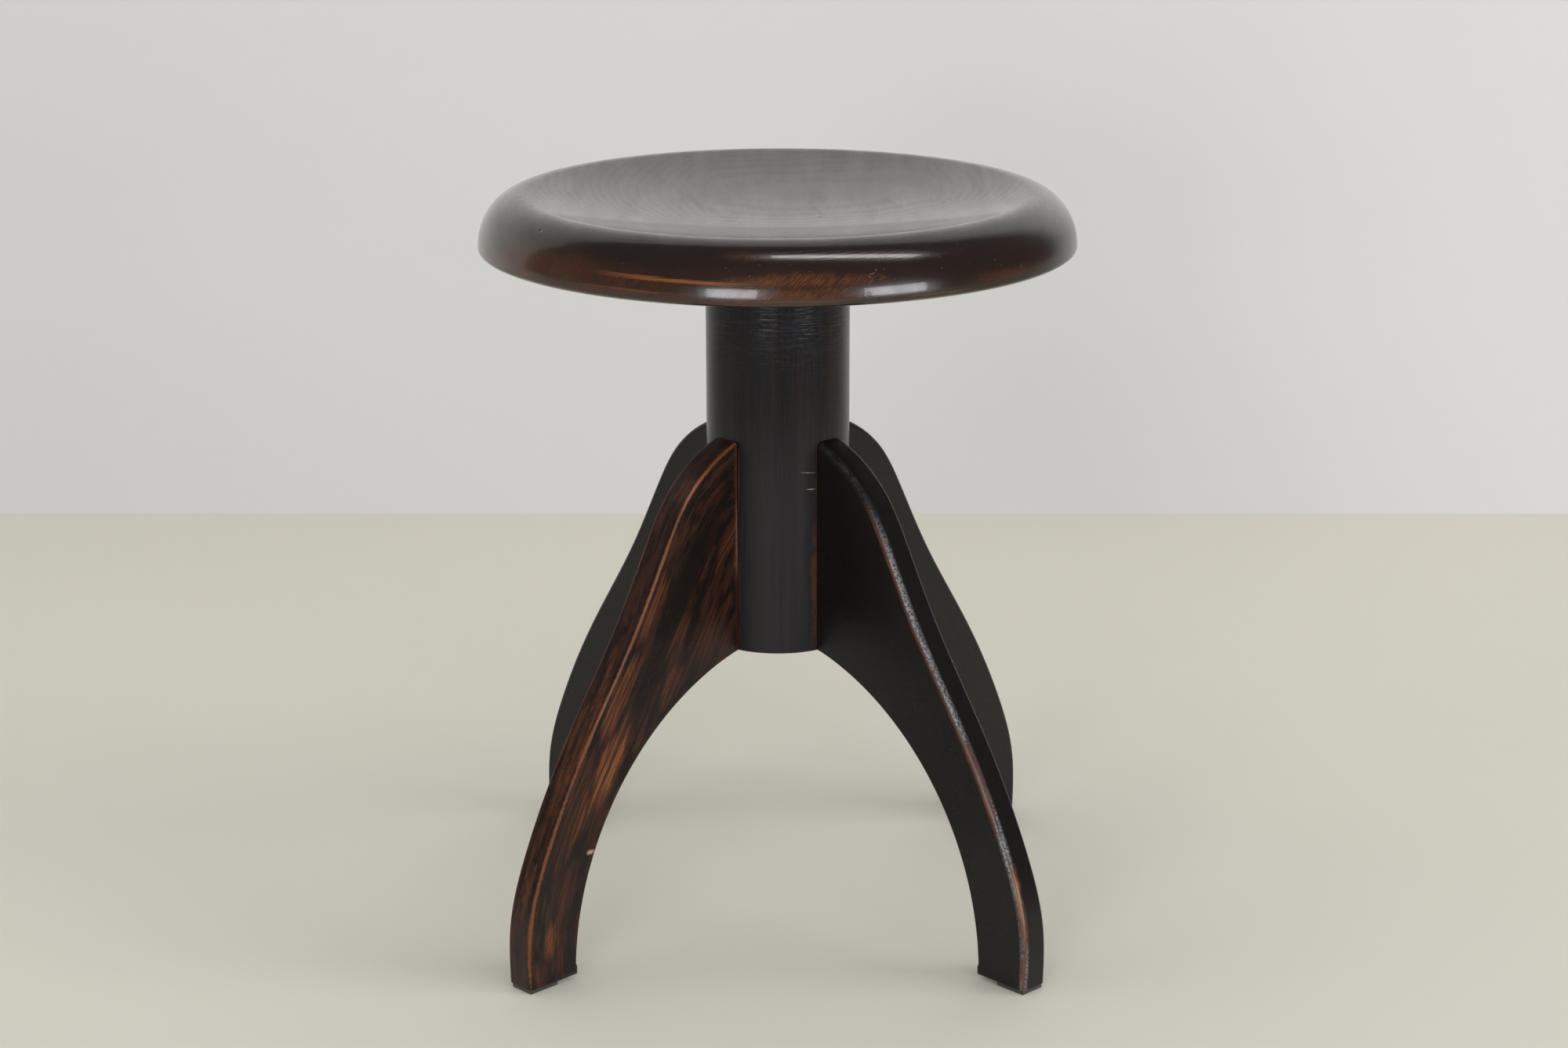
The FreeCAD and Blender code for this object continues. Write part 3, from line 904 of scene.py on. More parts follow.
# %% Seat colours and marks
STAIN_BLACK = (0.0125, 0.0062, 0.0042, 1)
STAIN_BROWN = (0.050, 0.0200, 0.0095, 1)
WOOD_ORANGE = (0.205, 0.062, 0.0165, 1)
DUST_PALE = (0.20, 0.17, 0.14, 1)
GLUE_DARK = (0.003, 0.002, 0.002, 1)
VARNISH = {"IOR": 1.46, "Coat_Roughness": 0.055, "Coat_IOR": 1.5}
SEAT_GRAIN = {"Fibre_size": (0.55 * MM, 0.55 * MM, 16 * MM), "Band_size": (12 * MM, 12 * MM, 90 * MM),
              "Sway": 6 * MM}
TURNING_SIZE = (24 * MM, 0.9 * MM, 0.7 * MM)
DASH_SIZE = (7 * MM, 3 * MM, 0.55 * MM)
DASH_SLANT = math.radians(42)
RIM_FADE_TOP, RIM_FADE_BOTTOM = 449 * MM, 428 * MM
GLUE_FADE_TOP, GLUE_FADE_BOTTOM = 432 * MM, 427 * MM
GLUE_LINE_EDGE, GLUE_LINE_CORE = 0.42 * MM, 0.10 * MM
RING_WIDTH = 1.15 * MM
RING_SLANT = 0.08
RING_WOBBLE = (30 * MM, 30 * MM, 1.6 * MM)
PITH_HEIGHT = 1.5
PIT_SIZE = (1.5 * MM, 2.2 * MM, 1.5 * MM)

# Each streak or cloud: degrees from the front, height, half its width in degrees, half its height, strength.
SEAT_STREAKS = [
    (-19.0, 433.2, 15.0, 1.2, 1.10), (-26.0, 433.6, 9.5, 1.8, 0.70), (-27.5, 426.3, 13.0, 0.9, 0.5),
    (-6.0, 432.8, 6.0, 0.9, 0.6), (2.0, 423.5, 20.0, 0.8, 0.24), (30.0, 423.3, 8.0, 0.8, 0.28),
    (152.0, 430.0, 22.0, 2.4, 0.7), (-128.0, 431.0, 18.0, 2.0, 0.6)]
SEAT_CLOUDS = [
    (-45.0, 433.5, 24.0, 11.0, 0.13), (-58.0, 429.0, 16.0, 8.0, 0.11), (-30.0, 429.0, 20.0, 8.0, 0.11),
    (3.5, 434.6, 12.0, 4.6, 0.37), (14.0, 434.3, 7.0, 3.6, 0.28), (4.0, 427.5, 15.0, 4.0, 0.26),
    (-4.4, 446.5, 7.0, 3.0, 0.12), (46.5, 428.0, 11.0, 4.2, 0.10), (100.0, 429.0, 14.0, 5.0, 0.25)]

# Pits are points in millimetres. Each stroke is a start, an end, half its width and its strength.
SEAT_PITS = [(25.6, -3.6, 437.9), (104.4, 14.1, 445.1), (-133.9, -101.6, 448.5), (-142.9, -51.5, 453.4),
             (51.8, -171.8, 426.2)]
DISH_STROKES = [
    ((-67.5, 75.5, 444.5), (-24.8, -23.3, 438.3), 6.0, 0.35),
    ((17.6, 47.0, 439.2), (33.0, -25.8, 438.7), 2.0, 0.5),
    ((-95.0, 20.0, 444.0), (-70.0, -60.0, 444.6), 3.0, 0.35),
    ((60.0, 60.0, 442.0), (85.0, -30.0, 443.1), 3.0, 0.3)]
PALE_SCRATCHES = [
    ((54.8, -165.8, 440.4), (56.4, -167.6, 437.8), 0.35, 0.6),
    ((56.4, -167.6, 437.8), (51.6, -169.4, 436.4), 0.35, 0.5),
    ((51.6, -169.4, 436.4), (53.5, -169.8, 434.6), 0.35, 0.5),
    ((87.7, -155.1, 432.9), (97.6, -146.9, 437.5), 0.25, 0.5),
    ((84.0, -157.0, 433.4), (92.0, -150.6, 437.0), 0.2, 0.35),
    ((8.0, -163.5, 449.5), (16.0, -162.0, 450.3), 0.4, 0.45)]


# %% Seat finish
def growth_rings(place, pith_x):
    """Fine rings round a far pith above the board: 0 in pale early wood, 1 in each dark late ring."""
    wobble = noise(place, 7.0, 3.0, output="Color")
    part = split(vector_calc("MULTIPLY_ADD", wobble, RING_WOBBLE, place))
    level = plus(part["Z"], (part["Y"], -RING_SLANT))
    away = hypotenuse(minus(part["X"], pith_x), minus(PITH_HEIGHT, level))
    saw = calc("FRACT", calc("DIVIDE", away, RING_WIDTH))
    return times(ease(saw, 0.1, 0.9), ease(saw, 1.0, 0.93))


def on_rim(rubs):
    """Rubs given by angle and height, as patches in unrolled coordinates."""
    return [((math.radians(degrees) * SEAT_RADIUS, SEAT_RADIUS, height * MM),
             (math.radians(half_degrees) * SEAT_RADIUS, SEAT_RADIUS / 4, half_height * MM), strength)
            for degrees, height, half_degrees, half_height, strength in rubs]


def glue_line(place, height):
    """A dark line where the first two boards meet: plain low on the rim, faint above it. The varnish has
    filled the second joint."""
    away = calc("ABSOLUTE", minus(split(place)["X"], joint_centres[0]))
    strength = span(ease(height, GLUE_FADE_TOP, GLUE_FADE_BOTTOM), 0.06, 0.85)
    return times(ease(away, GLUE_LINE_EDGE, GLUE_LINE_CORE), strength)


def seat_finish(name, pith_x):
    material, shader, place = new_finish(name, **VARNISH)
    grain_place = turned_about(place, X_AXIS, QUARTER_TURN)
    wood = use(wood_fibres, Vector=grain_place, **SEAT_GRAIN)
    fibres = wood["Fibres"]
    rings = growth_rings(place, pith_x)
    marks = use(handling_marks, Vector=place)
    unrolled, degrees, radius, height = use(unrolled_group, Vector=place)
    turning = stretched_noise(unrolled, TURNING_SIZE, 3.0, 0.6)
    slanted = turned_about(unrolled, Y_AXIS, DASH_SLANT)
    dashes = stretched_noise(slanted, DASH_SIZE, 1.0)

    ragged = plus(times(fibres, 0.35), (turning, 0.65))
    streaks = patches(unrolled, on_rim(SEAT_STREAKS), Ragged=ragged, Raggedness=3.4)
    streaks = times(streaks, span(turning, 0.4, 1.4))
    off_front = ease(calc("ABSOLUTE", degrees), 20.0, 34.0)
    dashed = most(ease(dashes, 0.38, 0.62), times(off_front, 0.62))
    clouds = patches(unrolled, on_rim(SEAT_CLOUDS), Ragged=noise(place, 90.0, 3.0, 0.6), Raggedness=1.0)
    clouds = times(clouds, span(dashed, 0.25, 1.40))

    rim_side = ease(height, RIM_FADE_TOP, RIM_FADE_BOTTOM)
    left_side = ease(degrees, 30.0, -60.0)
    blotches = ease(noise(place, 10.0, 4.0, 0.6), 0.32, 0.62)
    grain = plus(times(fibres, 0.5), (wood["Bands"], 0.5))
    in_dish = ease(radius, 170 * MM, 140 * MM)
    dish_tone = plus(times(in_dish, span(grain, 0.25, 1.05)), (rings, -0.12))
    thin_stain = most(times(rim_side, span(left_side, 0.14, 0.95), blotches), dish_tone)

    pale = strokes(place, PALE_SCRATCHES, fibres)
    specks = times(ease(noise(place, 620.0, 0.0), 0.81, 0.86), 0.2)
    pits = patches(place, [(in_metres(point), PIT_SIZE, 1.0) for point in SEAT_PITS])
    feed(shader["Base Color"], paint(
        STAIN_BLACK, (thin_stain, STAIN_BROWN), (most(streaks, clouds), WOOD_ORANGE),
        (times(wood["Pores"], 0.6), STAIN_BLACK), (most(pale, specks), DUST_PALE),
        (most(pits, glue_line(place, height)), GLUE_DARK)))

    brushed = strokes(place, DISH_STROKES, fibres)
    feed(shader["Roughness"], plus(
        span(marks["Haze"], 0.10, 0.18), (rings, 0.04), (brushed, 0.08), (marks["Scratches"], 0.05)))
    thin_film = times(rim_side, ease(radius, 160 * MM, 172 * MM), ease(degrees, 22.0, 60.0))
    feed(shader["Coat Weight"], clamped(plus(
        span(grain, -0.10, 1.10), (rings, -0.06), (brushed, -0.28), (marks["Scratches"], -0.08),
        (wood["Pores"], -0.30), (thin_film, -0.75))))
    feed(shader["Normal"], relief(
        (noise(place, 30.0, 1.0), 0.10 * MM), (turning, 0.018 * MM), (fibres, 0.045 * MM),
        (rings, 0.010 * MM), (pits, -0.35 * MM), (marks["Scratches"], -0.008 * MM)))
    return material


SEAT_PITHS = {"seat_board_left": -140 * MM, "seat_board_middle": 4 * MM, "seat_board_right": 150 * MM}
for name, pith_x in SEAT_PITHS.items():
    dress(seat_pieces[name], seat_finish(name + "_varnish", pith_x))

# %% [markdown]
# The legs carry the same stain under a thin satin oil. Hands, shoes and cloths rub along the curve of the
# leg, so the wear follows the coordinates measured along and in from the outer edge. Where the stain has
# thinned, the wood shows brown, then orange, in soft patches crossed by fine dark lines, and some patches
# between them kept their stain. The front left leg is the most rubbed. Each patch is given in millimetres:
# along, in from the edge and sideways, then its three half sizes and its strength. The round edge of the
# front right leg gets a painted highlight instead: pebbled grey spots in its colour, under a glossy coat.

# %% Leg colours and wear
LEG_IOR = 1.37
LEG_COAT_ROUGHNESS = 0.35
LEG_BLACK = np.array((0.0065, 0.0036, 0.0028, 1))
LEG_COOL = np.array((0.0050, 0.0038, 0.0038, 1))
LEG_BROWN = (0.040, 0.0130, 0.0064, 1)
LEG_ORANGE = (0.125, 0.0370, 0.0105, 1)
LEG_BRIGHT = (0.200, 0.0700, 0.0240, 1)
LEG_TAN = (0.25, 0.125, 0.066, 1)
LEG_PALE = (0.52, 0.36, 0.22, 1)
# The grey of the painted highlight on the front right leg's round edge, standing in for a window's
# reflection.
LEG_PAINTED_HIGHLIGHT = (0.215, 0.198, 0.205, 1)
LEG_GRAIN = {"Fibre_size": (0.55 * MM, 0.55 * MM, 26 * MM), "Band_size": (7 * MM, 12 * MM, 110 * MM),
             "Sway": 4 * MM}
GRAIN_TILT = math.radians(30)
BRUSHED_SIZE, CLOUD_SIZE = (40, 1.1, 4), (30, 9, 9)

# Each leg's pebbles value sets the painted highlight on its round edge, with that edge's coat and pebbled
# bump.
LEG_WEAR = {
    "front_left": {
        "haze": 0.52, "outer_face": 0.46, "edge": 0.62, "joint": 0.95, "cool": 0.0, "pebbles": 0.0,
        "patches": [
            (246, 7, 9.5, 34, 9, 5, 0.72), (286, 5, 9.5, 28, 7, 5, 0.46), (300, 45, 9.5, 30, 8, 5, 0.62),
            (233, 35, 9.5, 22, 7, 5, 0.52), (242, 57, 9.5, 28, 12, 5, 0.42), (186, 9, 9.5, 38, 10, 5, 0.85),
            (146, 24, 9.5, 50, 11, 5, 1.00), (106, 17, 9.5, 30, 7, 5, 0.70), (205, 46, 9.5, 20, 8, 5, 0.68),
            (62, 23, 9.5, 40, 9, 5, 0.42), (29, 16, 9.5, 18, 7, 5, 0.72), (120, 8, 9.5, 60, 11, 5, 0.48),
            (8, 7, 9.5, 14, 10, 5, 0.45), (316, 0, 3, 20, 4, 7, 0.60), (296, 0, -5, 14, 4, 5, 0.45),
            (165, 0, 1, 90, 3.2, 10, 0.62), (66, 0, 1, 40, 3.2, 10, 0.50)],
        "kept": [
            (265, 24, 9.5, 62, 10, 5, 0.8), (203, 26, 9.5, 30, 9, 5, 0.7), (92, 4, 9.5, 26, 5, 5, 0.5)],
        "tan": [
            (318, 0.4, 9.3, 16, 1.1, 1.0, 0.75), (262, 0.5, 9.3, 40, 1.0, 1.0, 0.35),
            (190, 0.5, 9.3, 44, 1.1, 1.1, 0.30)]},
    "front_right": {
        "haze": 0.10, "outer_face": 0.05, "edge": 0.16, "joint": -0.2, "cool": 0.8, "pebbles": 1.0,
        "patches": [
            (52, 0.8, -8.0, 34, 3.2, 4.2, 1.00), (112, 2.0, -8.6, 34, 2.4, 2.4, 0.80),
            (140, 1.6, -7.8, 22, 3.0, 3.4, 0.95), (200, 3.2, -9.2, 60, 1.7, 1.7, 0.65),
            (270, 3.2, -9.2, 50, 1.7, 1.7, 0.6), (10, 1, -8.5, 16, 3, 3, 0.7)],
        "tan": [(60, 1.0, -8.5, 16, 1.8, 1.8, 0.45)]},
    "rear_left": {
        "haze": 0.10, "outer_face": 0.10, "edge": 0.2, "joint": 0.1, "cool": 0.6, "pebbles": 0.0,
        "patches": [
            (150, 20, -9.5, 50, 9, 5, 0.6), (60, 16, -9.5, 34, 8, 5, 0.6), (280, 30, -9.5, 40, 10, 5, 0.5)],
        "tan": [(250, 0.5, -9, 24, 1.6, 1.8, 0.4)]},
    "rear_right": {
        "haze": 0.12, "outer_face": 0.10, "edge": 0.22, "joint": 0.1, "cool": 0.5, "pebbles": 0.0,
        "patches": [
            (170, 22, 9.5, 50, 10, 5, 0.7), (260, 12, 9.5, 34, 8, 5, 0.5), (40, 14, 9.5, 30, 7, 5, 0.6)],
        "tan": [(180, 0.5, 9, 30, 1.6, 1.8, 0.4)]}}
ARCH_CHIP = [((166.8 * MM, 9.0 * MM, 77.6 * MM), (3.2 * MM, 3 * MM, 1.6 * MM), 0.7)]


# %% Leg finish
def leg_patches(run, rows, ragged, raggedness):
    return patches(run, [(row[:3], row[3:6], row[6]) for row in rows], Ragged=ragged, Raggedness=raggedness)


def without(value, mask):
    """The value, taken away where the mask is."""
    return times(value, minus(1.0, mask))


def leg_finish(corner, azimuth, wear):
    material, shader, place = new_finish("leg_" + corner + "_stain", IOR=LEG_IOR,
                                         Coat_Roughness=LEG_COAT_ROUGHNESS)
    tree = material.node_tree
    leg_place = turned_about(place, Z_AXIS, math.radians(-azimuth))
    grain_place = turned_about(leg_place, Y_AXIS, GRAIN_TILT)
    own_place = vector_calc("ADD", grain_place, (azimuth * MM, azimuth * MM, 0))
    wood = use(wood_fibres, Vector=own_place, **LEG_GRAIN)
    marks = use(handling_marks, Vector=turned_about(leg_place, X_AXIS, QUARTER_TURN))
    run = put(tree, "ShaderNodeAttribute", attribute_name="run_mm").outputs["Vector"]
    along_mm, across_mm, side_mm = split(run)
    distances = put(tree, "ShaderNodeAttribute", attribute_name="wear_mm").outputs["Vector"]
    edge_mm, joint_mm, _ = split(distances)
    height_mm = calc("DIVIDE", split(place)["Z"], MM)
    own_run = vector_calc("ADD", run, (azimuth, azimuth, 0))
    brushed = stretched_noise(own_run, BRUSHED_SIZE, 5.0, 0.7)
    clouds = stretched_noise(own_run, CLOUD_SIZE, 4.0, 0.6)

    outer_face = times(ease(across_mm, 2.5, 0.6), ease(calc("ABSOLUTE", side_mm), 9.4, 7.0))
    haze = most(times(ease(clouds, 0.34, 0.60), wear["haze"]), times(outer_face, wear["outer_face"]))
    ragged = plus(times(clouds, 0.6), (brushed, 0.4))
    worn = most(leg_patches(run, wear["patches"], ragged, 2.4), times(haze, 0.62))
    if "kept" in wear:
        worn = without(worn, leg_patches(run, wear["kept"], clouds, 1.6))
    worn = times(worn, span(ease(brushed, 0.38, 0.58), 0.30, 1.15))
    worn = without(worn, times(ease(wood["Fibres"], 0.54, 0.38), 0.45))
    worn_edge = use(rubbed_edge, Distance=edge_mm, Reach=2.3, Ragged=brushed, Vector=place,
                    Amount=wear["edge"])["Mask"]
    worn_edge = times(worn_edge, span(ease(across_mm, 9.0, 4.0), 0.25, 0.85))
    worn_joint = use(rubbed_edge, Distance=joint_mm, Reach=3.0, Ragged=brushed, Vector=place,
                     Amount=wear["joint"])["Mask"]
    red_joint = times(worn_joint, span(ease(height_mm, 205, 300), 0.26, 0.52))
    pale_joint = times(worn_joint, ease(height_mm, 218, 236), ease(height_mm, 278, 258), 0.42)
    worn = most(worn, red_joint, worn_edge)

    # Painted highlight: pebbled grey spots in the colour of the round edge, standing in for a window's
    # reflection.
    pebbles = noise(place, 800.0, 2.0, 0.6)
    round_edge = times(ease(across_mm, 4.2, 1.6), ease(side_mm, -4.9, -8.4),
                       span(ease(along_mm, 312, 262), 0.1, 1.0),
                       span(clouds, 0.1 * wear["pebbles"], 1.8 * wear["pebbles"]))
    painted_highlight = times(round_edge, span(ease(pebbles, 0.42, 0.58), 0.15, 1.15))

    black = tuple(LEG_BLACK + (LEG_COOL - LEG_BLACK) * wear["cool"])
    tan = most(leg_patches(run, wear["tan"], brushed, 1.6), pale_joint)
    # The colour starts from black with the painted highlight, then the rubbed wear is laid over it.
    color = paint(
        black, (painted_highlight, LEG_PAINTED_HIGHLIGHT), (ease(worn, 0.02, 0.40), LEG_BROWN), (ease(worn, 0.34, 0.86), LEG_ORANGE),
        (ease(worn, 0.80, 1.10), LEG_BRIGHT), (tan, LEG_TAN), (times(wood["Pores"], 0.6), black))
    if corner == "front_left":
        color = paint(color, (patches(leg_place, ARCH_CHIP, Ragged=wood["Fibres"]), LEG_PALE))
    feed(shader["Base Color"], color)

    feed(shader["Roughness"], plus(
        span(marks["Haze"], 0.22, 0.34), (worn, 0.10), (most(worn_edge, round_edge), 0.25),
        (marks["Scratches"], 0.10)))
    feed(shader["Coat Weight"], clamped(round_edge))
    feed(shader["Normal"], relief(
        (wood["Fibres"], 0.05 * MM), (times(pebbles, span(round_edge, 0.15, 1.0)), 0.20 * MM),
        (marks["Scratches"], -0.02 * MM)))
    return material


for corner, azimuth in LEG_AZIMUTHS.items():
    dress(leg_pieces[corner], leg_finish(corner, azimuth, LEG_WEAR[corner]))

# %% [markdown]
# The column is stained black all through and only satin, so it looks like charcoal. Its fibres run upright,
# with a fine ripple across them near the top where the turning tool chattered. Its lower part is painted
# greyer, so that the top under the seat stays darker: painted shade. The stain is rubbed brown beside the
# legs, most of all left of the front right leg, and two short nicks there show pale wood.

# %% Column finish
COLUMN_IOR = 1.31
COLUMN_BLACK = (0.0022, 0.0020, 0.0026, 1)
COLUMN_GREY = (0.0085, 0.0078, 0.0098, 1)
COLUMN_RED = (0.0105, 0.0070, 0.0064, 1)
COLUMN_BLUE = (0.0125, 0.0125, 0.0190, 1)
COLUMN_LOWER_GREY = (0.0250, 0.0232, 0.0240, 1)
COLUMN_GRAIN = {"Fibre_size": (0.5 * MM, 0.5 * MM, 45 * MM), "Band_size": (6 * MM, 6 * MM, 260 * MM),
                "Sway": 1.5 * MM}
COLUMN_NICKS = [((14.0, -41.4, 289.2), (22.4, -37.6, 288.2), 0.42, 1.0),
                ((17.0, -40.4, 278.4), (23.0, -37.3, 277.8), 0.42, 1.0)]
COLUMN_RUB = [((math.radians(30.6) * COLUMN_RADIUS, COLUMN_RADIUS, 216 * MM),
               (2.4 * MM, 10 * MM, 36 * MM), 0.5)]
RIPPLE_SIZE = (15 * MM, 40 * MM, 1.3 * MM)
SMUDGE_SIZE = (3 * MM, 3 * MM, 9 * MM)
RIPPLE_START, RIPPLE_FULL = 335 * MM, 385 * MM
# Painted shade: the grey starts at the first height and is full at the second, so the top under the seat
# stays darker.
LOWER_GREY_START, LOWER_GREY_FULL = 350 * MM, 260 * MM
LEG_TOP_FADE = 6 * MM


def beside_legs(place):
    """The distance, in millimetres, from the nearest line where a leg's side meets the column."""
    part = split(turned_about(place, Z_AXIS, QUARTER_TURN / 2))
    lines = [calc("ABSOLUTE", minus(calc("ABSOLUTE", part[axis]), LEG_THICKNESS / 2)) for axis in ("X", "Y")]
    return calc("DIVIDE", calc("MINIMUM", *lines), MM)


def column_finish():
    material, shader, place = new_finish("column_black_stain", IOR=COLUMN_IOR)
    wood = use(wood_fibres, Vector=place, **COLUMN_GRAIN)
    fibres, bands = wood["Fibres"], wood["Bands"]
    marks = use(handling_marks, Vector=place)
    unrolled, _, _, height = use(unrolled_group, Vector=place, Rim_radius=COLUMN_RADIUS)
    ripple = stretched_noise(unrolled, RIPPLE_SIZE, 2.0, 0.6)
    near_top = ease(height, RIPPLE_START, RIPPLE_FULL)
    # Painted shade: greyer lower down, so the column's top under the seat stays darker.
    greyer_below = times(ease(height, LOWER_GREY_START, LOWER_GREY_FULL), span(bands, 0.2, 0.8))

    beside = use(rubbed_edge, Distance=beside_legs(place), Reach=1.6, Ragged=fibres, Vector=place,
                 Amount=-0.1)["Mask"]
    beside = times(beside, ease(height, leg_top, leg_top - LEG_TOP_FADE), 0.45)
    smudges = stretched_noise(place, SMUDGE_SIZE, 4.0, 0.7)
    rub = patches(unrolled, COLUMN_RUB, Ragged=smudges, Raggedness=3.4)
    from_bottom = calc("DIVIDE", minus(height, column_bottom), MM)
    bottom_rim = use(rubbed_edge, Distance=from_bottom, Reach=1.2, Ragged=fibres, Vector=place,
                     Amount=0.0)["Mask"]
    worn = most(beside, rub, times(bottom_rim, 0.2))
    nicks = strokes(place, COLUMN_NICKS, fibres)

    feed(shader["Base Color"], paint(
        COLUMN_BLACK, (ease(fibres, 0.38, 0.66), COLUMN_GREY),
        (times(ease(bands, 0.48, 0.66), 0.8), COLUMN_RED), (greyer_below, COLUMN_LOWER_GREY),
        (times(ease(ripple, 0.50, 0.66), near_top), COLUMN_BLUE), (worn, LEG_ORANGE), (nicks, LEG_PALE)))
    feed(shader["Roughness"], plus(span(marks["Haze"], 0.12, 0.20), (fibres, 0.08)))
    feed(shader["Normal"], relief(
        (times(ripple, span(near_top, 0.10, 1.0)), 0.26 * MM), (fibres, 0.10 * MM), (nicks, -0.3 * MM)))
    return material


dress(nodes["column"], column_finish())

# %% [markdown]
# The pegs are bare beech, hidden in the joints, with the fibres along each peg. Each set of pegs gets the
# coordinates turned to its own leg.

# %% Beech pegs
BEECH_PALE = (0.60, 0.40, 0.23, 1)
BEECH_DARK = (0.42, 0.25, 0.13, 1)
BEECH_ROUGHNESS = 0.6
BEECH_GRAIN = {"Fibre_size": (0.5 * MM, 0.5 * MM, 14 * MM), "Band_size": (3 * MM, 3 * MM, 60 * MM),
               "Sway": 0.5 * MM}


def beech_finish(name, azimuth):
    material, shader, place = new_finish(name, Roughness=BEECH_ROUGHNESS)
    along_peg = turned_about(place, Z_AXIS, math.radians(-azimuth))
    upright = turned_about(along_peg, Y_AXIS, QUARTER_TURN)
    wood = use(wood_fibres, Vector=upright, **BEECH_GRAIN)
    feed(shader["Base Color"], paint(BEECH_PALE, (wood["Bands"], BEECH_DARK)))
    feed(shader["Normal"], relief((wood["Fibres"], 0.05 * MM)))
    return material


for corner, azimuth in LEG_AZIMUTHS.items():
    dress(nodes["leg_dowels_" + corner], beech_finish("beech_" + corner, azimuth))

# %% [markdown]
# The screw and its washer are turned steel, kept oiled, with dark old oil between the threads. The plate and
# the nut are blackened castings with a grainy skin. One group serves both: it gives fine turning lines, a
# grainy skin and patches of grime. On the screw, grime fills the thread as well.

# %% Group: metal skin
TURNING_LINE_SIZE = (60 * MM, 0.25 * MM, 0.25 * MM)


def build_metal_skin(given):
    round_axis = use(unrolled_group, Vector=given["Vector"])
    grime = noise(given["Vector"], 70.0, 4.0, 0.65)
    return {"Lines": stretched_noise(round_axis["Unrolled"], TURNING_LINE_SIZE),
            "Skin": noise(given["Vector"], given["Grain"], 3.0, 0.6),
            "Grime": ease(grime, 0.42, 0.68)}


metal_skin = new_group("metal_skin", {"Vector": ORIGIN, "Grain": 500.0}, build_metal_skin)

# %% Metal finishes
STEEL_BRIGHT = (0.46, 0.45, 0.43, 1)
STEEL_DULL = (0.20, 0.18, 0.16, 1)
IRON_BLACK = (0.030, 0.029, 0.029, 1)
IRON_GREY = (0.085, 0.080, 0.076, 1)
OIL_BROWN = (0.035, 0.022, 0.014, 1)
STEEL_GRAIN, IRON_GRAIN = 900.0, 420.0
THREAD_ROOT_RADIUS = 10.6 * MM
THREAD_FLANK_RADIUS = 12.7 * MM


def steel_finish(name, threaded=False):
    material, shader, place = new_finish(name)
    skin = use(metal_skin, Vector=place, Grain=STEEL_GRAIN)
    lines, grime = skin["Lines"], skin["Grime"]
    if threaded:
        radius = use(unrolled_group, Vector=place)["Radius"]
        grime = most(times(grime, 0.5), times(ease(radius, THREAD_FLANK_RADIUS, THREAD_ROOT_RADIUS), 0.75))
    feed(shader["Base Color"], paint(STEEL_BRIGHT, (lines, STEEL_DULL), (grime, OIL_BROWN)))
    feed(shader["Metallic"], span(grime, 1.0, 0.25))
    feed(shader["Roughness"], span(lines, 0.22, 0.42))
    feed(shader["Normal"], relief((lines, 0.03 * MM), (skin["Skin"], 0.02 * MM)))
    return material


def iron_finish(name):
    material, shader, place = new_finish(name)
    skin = use(metal_skin, Vector=place, Grain=IRON_GRAIN)
    feed(shader["Base Color"], paint(IRON_BLACK, (skin["Skin"], IRON_GREY)))
    feed(shader["Metallic"], span(skin["Grime"], 0.75, 0.35))
    feed(shader["Roughness"], span(skin["Skin"], 0.42, 0.68))
    feed(shader["Normal"], relief((skin["Skin"], 0.22 * MM), (skin["Lines"], 0.02 * MM)))
    return material


dress(nodes["spindle"], steel_finish("oiled_steel", threaded=True))
dress(nodes["stop_washer"], steel_finish("washer_steel"))
for name in ("stop_screw", "seat_plate_screws", "spindle_nut_screws"):
    dress(nodes[name], steel_finish(name + "_steel"))
for name in ("seat_plate", "spindle_nut"):
    dress(nodes[name], iron_finish(name + "_iron"))

# %% [markdown]
# Felt is a mat of fibres: it scatters light with a soft sheen and is nearly matt. Noise at two scales stands
# for the fibres and for the dirt that the floor has pressed into them.

# %% Felt finish
FELT_DARK = (0.018, 0.016, 0.014, 1)
FELT_DUSTY = (0.060, 0.053, 0.044, 1)
FELT_NAP = {"Roughness": 0.95, "Sheen_Weight": 0.3}


def felt_finish():
    material, shader, place = new_finish("dark_felt", **FELT_NAP)
    fibres = noise(place, 1500.0, 3.0, 0.7)
    dirt = noise(place, 160.0, 3.0)
    feed(shader["Base Color"], paint(FELT_DARK, (times(fibres, dirt), FELT_DUSTY)))
    feed(shader["Normal"], relief((fibres, 0.25 * MM)))
    return material


felt = felt_finish()
for pad in pad_pieces.values():
    dress(pad, felt)

# %% [markdown]
# The stool stands on a pale painted floor in front of a plain pale wall, which its dish reflects. The wall
# is a single sheet that can only be seen from its front: its material lets light through where the sheet is
# seen from behind, so that it never stands between the stool and a camera at the back. Its top and its ends
# fade away over the last stretch, far outside the picture, so that no hard edge shows in the reflections.
# Far from the stool the lamps stand close over the floor, which would burn out in views from the back. So
# there the floor fades into one even pale tone, also in reflections.

# %% Floor and wall
FLOOR_SIZE = 16.0
WALL_DISTANCE = 0.889
WALL_LEFT, WALL_RIGHT, WALL_HEIGHT = -3.4, 1.6, 3.0
WALL_FADE = 0.8
FLOOR_COLOR = (0.825, 0.79, 0.69, 1)
FLOOR_COLOR_WORN = (0.815, 0.78, 0.685, 1)
FLOOR_FAR_TONE = (0.56, 0.54, 0.475, 1)
FLOOR_FADE_START, FLOOR_FADE_END = 0.95, 1.6
WALL_COLOR = (0.63, 0.625, 0.61, 1)
WALL_ROUGHNESS = 0.8

